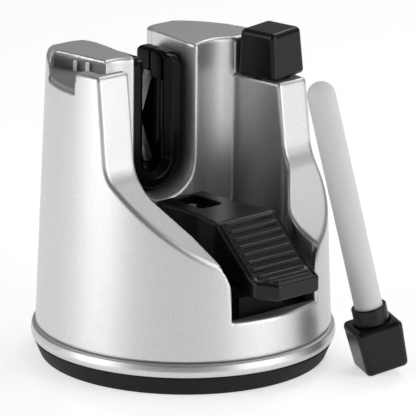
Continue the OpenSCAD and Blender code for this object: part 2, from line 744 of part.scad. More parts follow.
// Side view of the cartridge with the rounded tops of its arms
module arm_side() {
    y1 = cartridge_y + cartridge_d;
    along_x(-channel_w, 2 * channel_w)
        polygon(rounded([[cartridge_y, 0], [cartridge_y, cartridge_top_z], [y1, cartridge_top_z], [y1, 0]],
                        [0, arm_r, arm_r, 0]));
}
// Pocket in the arms that takes the ends of the plates
module plate_window() {
    translate([-gap_w / 2 - window_d, cartridge_mid_y - window_half, window_z0])
        cube([gap_w + 2 * window_d, 2 * window_half, window_z1 - window_z0]);
    for (s = [-1, 1]) plate_solid(s, fit);
}
// Bevel round the gap on the front, or turned about on the rear, with a fine ledge at its bottom
funnel_ledge = 0.1;
module funnel(turn) {
    r = gap_w / 2 + funnel_ledge;
    z = window_z0 + gap_w / 2;
    translate([0, cartridge_mid_y, z]) rotate([0, 0, turn]) translate([0, funnel_d - cartridge_d / 2, 0]) {
        rotate([90, 0, 0]) cylinder(h = funnel_d, r1 = r, r2 = r + funnel_w);
        linear_extrude(far)
            polygon(both([[0, 0], [r, 0], [r + funnel_w, -funnel_d], [r + funnel_w, -funnel_d - lap],
                          [0, -funnel_d - lap]]));
    }
}
// Groove along the parting line of the arms
module knife_groove() {
    translate([-channel_w, cartridge_mid_y - 0.4, window_z1 - 1]) cube([2 * channel_w, 0.8, far]);
}
// Places of the cartridge screws: one in each arm and one in the round bottom
arm_x = (gap_w / 2 + funnel_w + channel_w / 2 - step_w) / 2;
arm_z = cartridge_top_z - 5.3;
low_z = (channel_z + step_w + window_z0 - funnel_w) / 2;
cartridge_screw_xz = [[-arm_x, arm_z], [arm_x, arm_z], [0, low_z]];
cartridge_screw_d = 2;
cartridge_head_d = 3.6;
cartridge_screw_seat = cartridge_mid_y + cartridge_d / 2 - 1.6;
module cartridge_screw_holes(d) {
    for (p = cartridge_screw_xz) translate([p[0], 0, p[1]]) rotate([-90, 0, 0]) cylinder(h = far, d = d);
}
module cartridge_front() color(black) difference() {
    union() {
        cartridge_body(cartridge_y + step_d, cartridge_d / 2 - step_d, 0);
        cartridge_body(cartridge_y, step_d, step_w);
    }
    plate_window();
    funnel(0);
    knife_groove();
    intersection() {
        cartridge_screw_holes(cartridge_screw_d + 2 * bore_fit);
        translate([-far, cartridge_mid_y - 5, 0]) cube([2 * far, far, far]);
    }
}
module cartridge_rear() color(black) difference() {
    union() {
        cartridge_body(cartridge_mid_y, cartridge_d / 2 - step_d, 0);
        cartridge_body(cartridge_mid_y + cartridge_d / 2 - step_d, step_d, step_w);
    }
    plate_window();
    funnel(180);
    knife_groove();
    cartridge_screw_holes(cartridge_screw_d + 2 * fit);
    intersection() {
        cartridge_screw_holes(cartridge_head_d + 2 * fit);
        translate([-far, cartridge_screw_seat, 0]) cube([2 * far, far, far]);
    }
}
module cartridge_screw() difference() {
    head = 1.2;
    slot_w = 0.5;
    union() {
        cylinder(h = cartridge_screw_seat - cartridge_mid_y + 4.5, d = cartridge_screw_d);
        translate([0, 0, -head]) cylinder(h = head, d = cartridge_head_d);
    }
    translate([-3, -slot_w / 2, -2]) cube([6, slot_w, 1.4]);
}
module cartridge_screws() color(steel)
    for (p = cartridge_screw_xz)
        translate([p[0], cartridge_screw_seat, p[1]]) rotate([90, 0, 0]) cartridge_screw();
// One of the crossed plates, s is the side that its top leans to
module plate(s) {
    color(steel) plate_solid(s, 0);
}
module plate_solid(s, m) {
    y = cartridge_mid_y + (s < 0 ? plate_d + fit : 0);
    translate([0, y, cross_z]) rotate([0, s * plate_lean, 0])
        translate([-plate_t / 2 - m, -m, -plate_low - m])
            cube([plate_t + 2 * m, plate_d + 2 * m, plate_low + plate_high + 2 * m]);
}
module plate_left() {
    plate(-1);
}
module plate_right() {
    plate(1);
}

// Scissors notch

// Height of the upright panel, and the middle of the pins along it
panel_h = notch_depth - panel_drop;
pin_mid = 7.2;
module scissor_insert() color("#6d6f72") difference() {
    intersection() {
        translate([0, 0, notch_z]) linear_extrude(body_h) notch_plan(-fit);
        union() {
            translate([-far, notch_y, notch_z]) cube([far, far, insert_t]);
            at_panel(-lap) translate([-insert_t - fit, 0, 0]) cube([insert_t, notch_l + 2 * lap, panel_h]);
        }
        cylinder(h = 2 * body_h, r = cone_r(notch_z) - 0.6);
    }
    scissor_pin_places() cylinder(h = far, d = pin_d + 2 * bore_fit, center = true);
}
// At the panel of the notch, a distance l along it
module at_panel(l) {
    translate([notch_in[0], notch_in[1], notch_z]) rotate([0, 0, notch_turn]) translate([0, l, 0]) children();
}
module scissor_pin_places() {
    for (s = [-1, 1]) at_panel(pin_mid + s * pin_pitch / 2)
        translate([-insert_t - pin_d, 0, insert_t]) children();
}
module scissor_pins() color(white) scissor_pin_places() {
    translate([0, 0, -insert_t]) cylinder(h = pin_h + insert_t - pin_d / 2, d = pin_d);
    translate([0, 0, pin_h - pin_d / 2]) sphere(d = pin_d);
}

// Rods

module rod_sleeve() color(black) rod_place() {
    top = -collar_h - 1;
    bottom = shell_z + 1 - seat_z;
    translate([0, 0, bottom]) difference() {
        cylinder(h = top - bottom, d = sleeve_d);
        translate([0, 0, -1]) cylinder(h = far, d = rod_d + 2 * bore_fit);
    }
}
// A rod with its collar and knob: the knob's face is z = 0, the rod above it and the knob below
rod_root = 8;
recess_h = 1.2;
module rod_solid() {
    straight = collar_h + rod_l - rod_d / 2;
    translate([0, 0, -rod_root]) cylinder(h = rod_root + straight, d = rod_d);
    translate([0, 0, straight]) sphere(d = rod_d);
}
module collar_solid() {
    translate([0, 0, -recess_h]) difference() {
        cylinder(h = recess_h + collar_h, r = collar_r);
        translate([0, 0, -1]) cylinder(h = far, d = rod_d + 2 * bore_fit);
    }
}
module knob_solid() {
    difference() {
        hull() {
            knob_corners(knob_w, -knob_r);
            knob_corners(knob_end_w, -knob_h + knob_r);
        }
        translate([0, 0, -recess_h]) cylinder(h = far, r = collar_r + run);
        translate([0, 0, -rod_root]) cylinder(h = far, d = rod_d + 2 * bore_fit);
    }
}
module knob_corners(w, z) {
    edge = w / 2 - knob_r;
    for (x = [-edge, edge]) for (y = [-edge, edge]) translate([x, y, z]) sphere(r = knob_r, $fn = 24);
}
// Knob uppermost, its face just above the column
module stored_place() {
    rod_place() translate([0, 0, run]) rotate([180, 0, knob_turn]) children();
}
module stored_rod() color(white) stored_place() rod_solid();
module stored_collar() color(black) stored_place() collar_solid();
module stored_knob() color(black) stored_place() knob_solid();
module loose_rod() color(white) loose_place() rod_solid();
module loose_collar() color(black) loose_place() collar_solid();
module loose_knob() color(black) loose_place() knob_solid();

body_shell();
tower_shell();
base_ring();
suction_cup();
base_plate();
base_screws();
well_liner();
lever_bracket();
bracket_screws();
lever_axle();
cartridge_front();
cartridge_rear();
cartridge_screws();
plate_left();
plate_right();
scissor_insert();
scissor_pins();
rod_sleeve();
lever();
lever_grip();
pull_stem();
stem_pin();
cup_plate();
return_spring();
stored_rod();
stored_collar();
stored_knob();
loose_rod();
loose_collar();
loose_knob();
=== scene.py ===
"""Looks of a suction-base knife sharpener, built piece by piece on its packed frame."""

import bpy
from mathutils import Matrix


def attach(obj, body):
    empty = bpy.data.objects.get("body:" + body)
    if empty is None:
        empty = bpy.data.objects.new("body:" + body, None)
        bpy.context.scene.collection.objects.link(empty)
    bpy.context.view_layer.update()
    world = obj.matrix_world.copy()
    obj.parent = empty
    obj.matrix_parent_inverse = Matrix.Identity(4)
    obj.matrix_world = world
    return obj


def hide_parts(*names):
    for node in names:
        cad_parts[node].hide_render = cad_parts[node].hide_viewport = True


bl_info = {
    "name": "Suction knife sharpener",
    "version": (1, 0, 0),
    "blender": (4, 5, 0),
    "location": "View3D > Sidebar > Sharpener",
    "description": "Builds the visible pieces of a knife sharpener and its studio on the packed frame",
    "category": "Object",
}

import math
from types import SimpleNamespace

import bpy
import numpy as np
from bpy.props import FloatProperty, FloatVectorProperty, IntProperty, PointerProperty
from bpy.types import Operator, Panel, PropertyGroup
from mathutils import Matrix, Vector

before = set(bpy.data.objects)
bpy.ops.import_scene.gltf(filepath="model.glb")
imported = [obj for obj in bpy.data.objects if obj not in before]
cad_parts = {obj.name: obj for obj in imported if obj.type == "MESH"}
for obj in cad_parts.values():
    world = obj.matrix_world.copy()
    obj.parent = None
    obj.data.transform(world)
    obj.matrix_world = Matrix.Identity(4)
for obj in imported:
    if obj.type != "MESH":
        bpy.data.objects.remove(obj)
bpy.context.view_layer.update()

# Sizes and colours a user would change

def length(name, description, mm):
    """A length property with its default given in millimetres."""
    return FloatProperty(name=name, description=description, default=mm / 1000, min=0, unit="LENGTH",
                         precision=5)


def colour(name, description, value):
    """A colour property."""
    return FloatVectorProperty(name=name, description=description, default=value, min=0, max=1,
                               subtype="COLOR")


def amount(name, description, value, unit="NONE"):
    """A number property that is never negative."""
    return FloatProperty(name=name, description=description, default=value, min=0, unit=unit)


class HousingSizes(PropertyGroup):
    """Sizes of the silver housing, its ring and its rubber foot."""

    height: length("Height", "Top of the towers above the table", 105.2)
    foot_radius: length("Foot radius", "Radius of the cone at its foot", 50.4)
    top_radius: length("Top radius", "Radius of the cone at its top", 46.5)
    base_z: length("Cone start", "Height at which the cone stands on the ring", 11.4)
    edge: length("Edge radius", "Rounding of the moulded edges", 1.3)
    well_width: length("Well width", "Width of the lever well at the towers", 61.6)
    open_width: length("Opening width", "Width of the front opening", 37)
    lip_z: length("Lip height", "Height of the lip at the front", 43.3)
    left_bend_z: length("Left bend", "Height at which the left column bends out", 72)
    right_bend_z: length("Right bend", "Height at which the right column bends out", 65)
    channel_width: length("Channel width", "Width of the knife channel", 25.4)
    channel_z: length("Channel floor", "Height of the channel's round bottom", 52.7)
    channel_bevel: length("Channel bevel", "Depth of the bevel round the front of the channel", 3)
    bevel_width: length("Bevel width", "Width of that bevel", 1.3)
    seat_z: length("Rod seat", "Height of the right column's top", 90.6)
    notch_z: length("Notch floor", "Height of the scissors notch", 97.9)
    ring_radius: length("Ring radius", "Outer radius of the base ring", 52)
    rubber_z: length("Rubber height", "Height of the rubber foot", 6.9)


class LeverSizes(PropertyGroup):
    """Sizes of the suction lever and its ribbed grip."""

    width: length("Width", "Width of the ribbed front", 26.4)
    rear_width: length("Rear width", "Width of the rear plate", 21.2)
    top_z: length("Top height", "Height of the rear plate", 54.5)
    nose_z: length("Nose height", "Height of the nose", 38.6)
    edge: length("Edge radius", "Rounding of the lever's edges", 1.0)
    grip: length("Grip thickness", "Thickness of the ribbed grip", 1.2)
    rib: length("Rib diameter", "Diameter of a rib", 1.6)
    ribs: IntProperty(name="Ribs", description="Number of ribs on the grip", default=10, min=2)


class CartridgeSizes(PropertyGroup):
    """Sizes of the black cartridge in the knife channel."""

    front_y: length("Front", "Distance of the cartridge's front behind the axis", 14.1)
    depth: length("Depth", "Depth along the channel", 18.4)
    top_z: length("Arm height", "Height of the tops of the arms", 101.3)
    arm_round: length("Arm rounding", "Rounding of the arms' tops, front and rear", 4.5)
    gap: length("Knife gap", "Width of the gap between the arms", 9.2)
    funnel: length("Funnel width", "Width of the bevel that leads the blade into the gap", 2.9)
    funnel_depth: length("Funnel depth", "Depth of that bevel", 2.3)
    edge: length("Edge radius", "Rounding of the cartridge's edges", 1.1)


class RodSizes(PropertyGroup):
    """Sizes of the ceramic rods, their collars and cube knobs."""

    rod: length("Rod diameter", "Diameter of a ceramic rod", 9.6)
    rod_length: length("Rod length", "Length outside the collar", 81)
    knob: length("Knob width", "Width of the knob at the rod", 16.6)
    knob_end: length("Knob end width", "Width of the knob at its free end", 15)
    knob_height: length("Knob height", "Height of the knob", 16.6)
    knob_edge: length("Knob edge", "Rounding of the knob's edges", 1.8)
    collar_height: length("Collar height", "Height of the collar", 5.8)
    collar_wall: length("Collar wall", "Wall of the collar", 1.2)


class FinishColours(PropertyGroup):
    """Colours of the finishes."""

    silver: colour("Silver coat", "Satin silver of the housing", (0.69, 0.693, 0.696))
    satin: colour("Satin black", "Black of the lever and knobs", (0.005, 0.005, 0.0053))
    gloss: colour("Gloss black", "Black of the cartridge", (0.0025, 0.0025, 0.0027))
    rubber: colour("Rubber", "Black of the foot", (0.016, 0.016, 0.016))
    ceramic: colour("Ceramic", "White of the rods and pins", (0.96, 0.96, 0.955))
    insert: colour("Insert", "Grey of the scissors insert", (0.25, 0.253, 0.257))
    steel: colour("Steel", "Steel of the screws and pins", (0.48, 0.49, 0.5))
    ground: colour("Ground plates", "Grey of the crossed plates", (0.8, 0.8, 0.8))


class StudioSettings(PropertyGroup):
    """Camera, floor and lamps."""

    lens: FloatProperty(name="Lens", description="Focal length", default=384.17, min=1, unit="CAMERA")
    distance: length("Distance", "Camera to the middle of the object", 1500)
    floor: colour("Floor", "Colour of the floor", (0.86, 0.86, 0.86))
    left_power: amount("Left softbox", "Power of the left softbox", 5.3, "POWER")
    right_power: amount("Right softbox", "Power of the right softbox", 5.3, "POWER")
    top_power: amount("Top softbox", "Power of the top softbox", 1.2, "POWER")
    back_power: amount("Back softbox", "Power of the back softbox", 2, "POWER")
    room_front: amount("Room front", "Brightness of the room behind the camera", 0.05)
    room_back: amount("Room back", "Brightness of the room behind the object", 0.27)
    floor_lift: amount("Floor lift", "Brightness added to the floor as seen by the camera", 0.6)


def in_mm(group):
    """The group's lengths in millimetres, its other values as they are."""
    values = {}
    for p in group.bl_rna.properties:
        if p.identifier not in ("rna_type", "name"):
            value = getattr(group, p.identifier)
            values[p.identifier] = value * 1000 if getattr(p, "unit", "") == "LENGTH" else value
    return SimpleNamespace(**values)


# Outlines and distance fields, in millimetres, negative inside

def arc(centre, r, a0, a1, n=8):
    """Points of an arc between two angles in degrees."""
    a = np.radians(np.linspace(a0, a1, n + 1))
    return [(centre[0] + r * c, centre[1] + r * s) for c, s in zip(np.cos(a), np.sin(a))]


def corner(a, p, b, r, n=8):
    """Points that round the corner p between its neighbours a and b."""
    a, p, b = np.array(a, float), np.array(p, float), np.array(b, float)
    u, v = (a - p) / np.linalg.norm(a - p), (b - p) / np.linalg.norm(b - p)
    half = math.acos(float(np.clip(u @ v, -1, 1))) / 2
    centre = p + (u + v) / np.linalg.norm(u + v) * r / math.sin(half)
    s, t = p + u * r / math.tan(half) - centre, p + v * r / math.tan(half) - centre
    a0, a1 = math.degrees(math.atan2(s[1], s[0])), math.degrees(math.atan2(t[1], t[0]))
    turn = (a1 - a0 + 180) % 360 - 180
    return arc(centre, r, a0, a0 + turn, n)


def rounded(points, radii, n=8):
    """An outline with each corner rounded by its own radius, or left sharp where that is 0."""
    out = []
    for i, (p, r) in enumerate(zip(points, radii)):
        out += corner(points[i - 1], p, points[(i + 1) % len(points)], r, n) if r > 0 else [p]
    return out


def both(points):
    """An outline closed by its mirror image across the middle."""
    return list(points) + [(-x, y) for x, y in reversed(points)]


def outline(points):
    """Signed distance to a closed outline."""
    starts = np.array(points, float)
    ends = np.roll(starts, -1, 0)

    def distance(u, v):
        u, v = np.broadcast_arrays(np.asarray(u, float), np.asarray(v, float))
        nearest = np.full(u.shape, 1e12)
        inside = np.zeros(u.shape, bool)
        for (ax, ay), (bx, by) in zip(starts, ends):
            ex, ey = bx - ax, by - ay
            size = ex * ex + ey * ey
            if size < 1e-12:
                continue
            t = np.clip(((u - ax) * ex + (v - ay) * ey) / size, 0, 1)
            nearest = np.minimum(nearest, (u - ax - ex * t) ** 2 + (v - ay - ey * t) ** 2)
            if ay != by:
                inside ^= ((ay > v) != (by > v)) & (u < ax + ex * (v - ay) / ey)
        return np.where(inside, -1, 1) * np.sqrt(nearest)

    return distance


def rounded_common(parts, r):
    """Common space of several fields, with its outer edges rounded."""
    most, total = parts[0], 0
    for part in parts:
        most = np.maximum(most, part)
        total = total + np.maximum(r + part, 0) ** 2
    return np.minimum(-r, most) + np.sqrt(total)


def rounded_sum(a, b, r):
    """Two fields joined, with a fillet between them."""
    return np.maximum(r, np.minimum(a, b)) - np.hypot(np.maximum(r - a, 0), np.maximum(r - b, 0))


# Times that mesh points are pulled onto their surface, and the reach of the two slopes
PULLS = 4
PULL_REACH = 0.02
NORMAL_REACH = 0.06


def slope(field, p, h):
    """Gradient of a field at points."""
    g = np.empty_like(p)
    for i in range(3):
        step = np.zeros(3)
        step[i] = h
        g[:, i] = (field(*(p + step).T) - field(*(p - step).T)) / (2 * h)
    return g


def surface_of(field, low, high, step):
    """Points, quads and normals of the zero surface of a field inside a box."""
    axes = [np.arange(a - 1.5 * step, b + 2.5 * step, step) for a, b in zip(low, high)]
    shape = tuple(len(a) for a in axes)
    grid = axes[0][:, None, None], axes[1][None, :, None], axes[2][None, None, :]
    value = np.array(np.broadcast_to(field(*grid), shape))
    inside = value < 0
    cells = tuple(n - 1 for n in shape)
    corners = [(i, j, k) for i in (0, 1) for j in (0, 1) for k in (0, 1)]
    count = sum(inside[i:i + cells[0], j:j + cells[1], k:k + cells[2]].astype(np.int8) for i, j, k in corners)
    index = np.argwhere((count > 0) & (count < 8))
    total, hits = np.zeros((len(index), 3)), np.zeros(len(index))
    for start in corners:
        for axis in range(3):
            if start[axis] == 0:
                end = tuple(1 if n == axis else c for n, c in enumerate(start))
                v0 = value[tuple((index + start).T)]
                v1 = value[tuple((index + end).T)]
                cross = (v0 < 0) != (v1 < 0)
                t = np.where(cross, v0 / np.where(cross, v0 - v1, 1), 0)
                total += cross[:, None] * (np.array(start) + t[:, None] * (np.array(end) - start))
                hits += cross
    points = np.array([a[0] for a in axes]) + (index + total / hits[:, None]) * step
    ids = np.full(cells, -1)
    ids[tuple(index.T)] = np.arange(len(index))
    quads = []
    for axis in range(3):
        order = (axis, (axis + 1) % 3, (axis + 2) % 3)
        turned, cell = np.transpose(inside, order), np.transpose(ids, order)
        here, there = turned[:-1, 1:-1, 1:-1], turned[1:, 1:-1, 1:-1]
        for found, flip in (((here & ~there), False), ((~here & there), True)):
            i, j, k = np.argwhere(found).T
            ring = [cell[i, j, k], cell[i, j + 1, k], cell[i, j + 1, k + 1], cell[i, j, k + 1]]
            quads.append(np.stack(ring[::-1] if flip else ring, 1))
    quads = np.concatenate(quads)
    for _ in range(PULLS):
        g = slope(field, points, PULL_REACH)
        move = (field(*points.T) / np.maximum((g * g).sum(1), 0.1))[:, None] * g
        far = np.linalg.norm(move, axis=1)
        points = points - move * np.minimum(1, 0.5 * step / np.maximum(far, 1e-9))[:, None]
    g = slope(field, points, NORMAL_REACH)
    return points, quads, g / np.maximum(np.linalg.norm(g, axis=1), 1e-9)[:, None]


# Pieces

# Mesh steps in millimetres
STEPS = {"housing": 0.75, "lever": 0.55, "grip": 0.32, "cartridge": 0.36, "knob": 0.55}
SHARP_ANGLE = math.radians(40)


def new_piece(name, mesh, body, slot, finish, *nodes):
    """An object that rides on a body, wears a finish and stands for CAD nodes."""
    piece = bpy.data.objects.new(name, mesh)
    bpy.context.scene.collection.objects.link(piece)
    mesh.materials.append(finish)
    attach(piece, body)
    if nodes:
        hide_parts(*nodes)
    return piece


def moulded(name, field, low, high, step, place=Matrix()):
    """A mesh of a field's surface, in metres, with normals from the field."""
    points, quads, normals = surface_of(field, low, high, step)
    turn = np.array(place.to_3x3())
    points = points / 1000 @ turn.T + np.array(place.translation)
    mesh = bpy.data.meshes.new(name)
    mesh.from_pydata(points.tolist(), [], quads.tolist())
    mesh.shade_smooth()
    mesh.normals_split_custom_set_from_vertices((normals @ turn.T).tolist())
    return mesh


def turned(name, profile, place=Matrix(), segments=144):
    """A turned mesh from a closed profile of radius and height in millimetres."""
    angles = np.linspace(0, 2 * math.pi, segments, endpoint=False)
    points = [(r * math.cos(a) / 1000, r * math.sin(a) / 1000, z / 1000) for a in angles for r, z in profile]
    n = len(profile)
    quads = []
    for i in range(segments):
        for j in range(n):
            a, b = i * n + j, i * n + (j + 1) % n
            c, d = (b + n) % (segments * n), (a + n) % (segments * n)
            quads.append((a, d, c, b))
    mesh = bpy.data.meshes.new(name)
    mesh.from_pydata([place @ Vector(p) for p in points], [], quads)
    mesh.validate()
    mesh.shade_smooth()
    mesh.set_sharp_from_angle(angle=SHARP_ANGLE)
    return mesh


# Finishes

def base_finish(name):
    """An empty material with a principled shader; returns it with its nodes, links and shader."""
    finish = bpy.data.materials.new(name)
    finish.use_nodes = True
    nodes, links = finish.node_tree.nodes, finish.node_tree.links
    nodes.clear()
    shader = nodes.new("ShaderNodeBsdfPrincipled")
    links.new(shader.outputs["BSDF"], nodes.new("ShaderNodeOutputMaterial").inputs["Surface"])
    return finish, nodes, links, shader


def grain(nodes, links, scale, detail=3.0, stretch=(1, 1, 1)):
    """Noise in the piece's own coordinates, at a scale in grains per metre."""
    place = nodes.new("ShaderNodeTexCoord")
    mapping = nodes.new("ShaderNodeMapping")
    mapping.inputs["Scale"].default_value = stretch
    noise = nodes.new("ShaderNodeTexNoise")
    noise.inputs["Scale"].default_value = scale
    noise.inputs["Detail"].default_value = detail
    links.new(place.outputs["Object"], mapping.inputs["Vector"])
    links.new(mapping.outputs["Vector"], noise.inputs["Vector"])
    return noise.outputs["Fac"]


# The stretches of the noise over which roughness and colour change
ROUGH_FROM, ROUGH_TO = 0.3, 0.7
TINT_FROM, TINT_TO = 0.32, 0.68


def spread(nodes, links, factor, low, high):
    """Noise mapped to a range of values."""
    ramp = nodes.new("ShaderNodeMapRange")
    ramp.inputs["From Min"].default_value = ROUGH_FROM
    ramp.inputs["From Max"].default_value = ROUGH_TO
    ramp.inputs["To Min"].default_value = low
    ramp.inputs["To Max"].default_value = high
    links.new(factor, ramp.inputs["Value"])
    return ramp.outputs["Result"]


def tint(nodes, links, factor, base, change):
    """Colours a little darker and lighter than the base, mixed by noise."""
    ramp = nodes.new("ShaderNodeValToRGB")
    ramp.color_ramp.elements[0].position = TINT_FROM
    ramp.color_ramp.elements[1].position = TINT_TO
    ramp.color_ramp.elements[0].color = [c * (1 - change) for c in base] + [1]
    ramp.color_ramp.elements[1].color = [min(1, c * (1 + change)) for c in base] + [1]
    links.new(factor, ramp.inputs["Fac"])
    return ramp.outputs["Color"]


def relief(nodes, links, factor, strength, depth):
    """A bump from noise."""
    bump = nodes.new("ShaderNodeBump")
    bump.inputs["Strength"].default_value = strength
    bump.inputs["Distance"].default_value = depth
    links.new(factor, bump.inputs["Height"])
    return bump.outputs["Normal"]


# What each finish is: metal share, roughness range, grain scale, colour change, bump strength,
# and for some the level of the shine or the stretch of the grain
FINISHES = {
    "silver": dict(metal=0.86, rough=(0.35, 0.43), scale=2600, change=0.09, bump=0.1),
    "satin": dict(metal=0.0, rough=(0.26, 0.34), scale=2200, change=0.25, bump=0.05, shine=0.3),
    "gloss": dict(metal=0.0, rough=(0.18, 0.25), scale=900, change=0.25, bump=0.02, shine=0.12),
    "matte": dict(metal=0.0, rough=(0.5, 0.65), scale=1800, change=0.3, bump=0.1, shine=0.2),
    "rubber": dict(metal=0.0, rough=(0.55, 0.7), scale=1500, change=0.3, bump=0.12, shine=0.2),
    "ceramic": dict(metal=0.0, rough=(0.5, 0.62), scale=3000, change=0.015, bump=0.05),
    "insert": dict(metal=0.0, rough=(0.45, 0.6), scale=2400, change=0.2, bump=0.1),
    "ground": dict(metal=0.5, rough=(0.3, 0.4), scale=400, change=0.12, bump=0.03, stretch=(1, 1, 12)),
    "steel": dict(metal=1.0, rough=(0.2, 0.34), scale=700, change=0.1, bump=0.06),
}
WIDE_GRAIN, WIDE_SHARE = 60, 0.3
BUMP_DEPTH = 0.0002
PLAIN_SHINE = 0.5


def finish(name):
    """The finish of that name, made on its first use."""
    title = name + "_finish"
    if title in bpy.data.materials:
        return bpy.data.materials[title]
    look = FINISHES[name]
    colours = bpy.context.scene.sharpener_colours
    base = tuple(getattr(colours, {"matte": "rubber"}.get(name, name)))
    made, nodes, links, shader = base_finish(title)
    fine = grain(nodes, links, look["scale"], 3, look.get("stretch", (1, 1, 1)))
    wide = grain(nodes, links, WIDE_GRAIN, 2)
    shader.inputs["Metallic"].default_value = look["metal"]
    shader.inputs["Specular IOR Level"].default_value = look.get("shine", PLAIN_SHINE)
    links.new(tint(nodes, links, fine, base, look["change"]), shader.inputs["Base Color"])
    both_grains = nodes.new("ShaderNodeMix")
    both_grains.inputs["Factor"].default_value = WIDE_SHARE
    links.new(fine, both_grains.inputs["A"])
    links.new(wide, both_grains.inputs["B"])
    links.new(spread(nodes, links, both_grains.outputs["Result"], *look["rough"]), shader.inputs["Roughness"])
    links.new(relief(nodes, links, fine, look["bump"], BUMP_DEPTH), shader.inputs["Normal"])
    return made


def wear(name, *nodes):
    """Gives carried-over CAD nodes a finish."""
    for node in nodes:
        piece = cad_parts[node]
        if not piece.material_slots:
            piece.data.materials.append(finish(name))
        for slot in piece.material_slots:
            slot.material = finish(name)


# Housing

# Distances from the axis to the towers' fronts, the lip, the back and the columns' fronts
TOWER_Y, LIP_Y, BACK_Y, COLUMN_Y = 9.5, 44.5, 37.5, 8.9
COLUMN_LEAN = 7
WELL_FRONT_Y = 1.1 - LIP_Y
WELL_FLARE, LIP_FLARE = 2.6, 2.4
# The well's sides: the place of each knee and of the waist, and the waist's distance outside the opening
LEFT_KNEE_Y, RIGHT_KNEE_Y, WAIST_Y = -20, -15, -33
LEFT_WAIST, RIGHT_WAIST = 7, -1.2
WELL_FLOOR_Z, SILL_Z, DECK_Z = 22, 25, 19.2
SKIRT_WALL = 4.4
SCOOP_DEPTH, SCOOP_Z = 2.4, 30
REAR_RADIUS = 5
TOP_SLOPE = 4
# The notch: its front, inner corner, length, turn and the angle at which it leaves the cone
NOTCH_Y, NOTCH_X, NOTCH_LENGTH, NOTCH_TURN, NOTCH_EXIT = 2.4, -24.8, 19.5, 17, 26
SLOT_X, SLOT_Y = (-41.2, -21.2), (-5.1, 4.9)
# The stored rod's place, its bore, the wider seat of its collar and the bore of the stem
ROD_X, SLEEVE_R, COLLAR_SEAT_R, COLLAR_SEAT_DEPTH, STEM_BORE_R = 39.36, 5.91, 6.3, 6.8, 4.3
CUT_EDGE = 0.7
FAR = 120


def well_outline(s):
    """Plan of the lever well; its right side draws in further than its left."""
    def half(knee_y, waist):
        w, front = s.well_width / 2, s.open_width / 2
        return rounded([(0, TOWER_Y), (w, TOWER_Y), (w + WELL_FLARE, knee_y), (front + waist, WAIST_Y),
                        (front + LIP_FLARE, WELL_FRONT_Y), (0, WELL_FRONT_Y)], [0, 1, 8, 9, 0, 0])

    right = half(RIGHT_KNEE_Y, RIGHT_WAIST)
    left = half(LEFT_KNEE_Y, LEFT_WAIST)
    return right + [(-x, y) for x, y in reversed(left)]


def saddle_outline(s, bend_z):
    """Side view of what the saddle takes away in front of a column."""
    lean = math.tan(math.radians(COLUMN_LEAN))
    y = -COLUMN_Y - (s.height - bend_z) * lean
    fall = (bend_z - s.lip_z) / (LIP_Y + y)
    return rounded([(-COLUMN_Y + 10 * lean, s.height + 10), (y, bend_z),
                    (-FAR, s.lip_z - fall * (FAR - LIP_Y)), (-FAR, s.height + 10)], [0, 12, 0, 0])


def notch_outline(s, r):
    """Plan of the scissors notch beside the left tower."""
    way, leave = math.radians(NOTCH_TURN), math.radians(NOTCH_EXIT)
    inner = np.array((NOTCH_X, TOWER_Y + SCOOP_DEPTH + 1))
    end = inner + NOTCH_LENGTH * np.array((-math.sin(way), math.cos(way)))
    out = (-r * math.cos(leave), r * math.sin(leave))
    return [tuple(inner), tuple(end), out, (-FAR, out[1]), (-FAR, NOTCH_Y), (-s.well_width / 2 + 2, NOTCH_Y)]


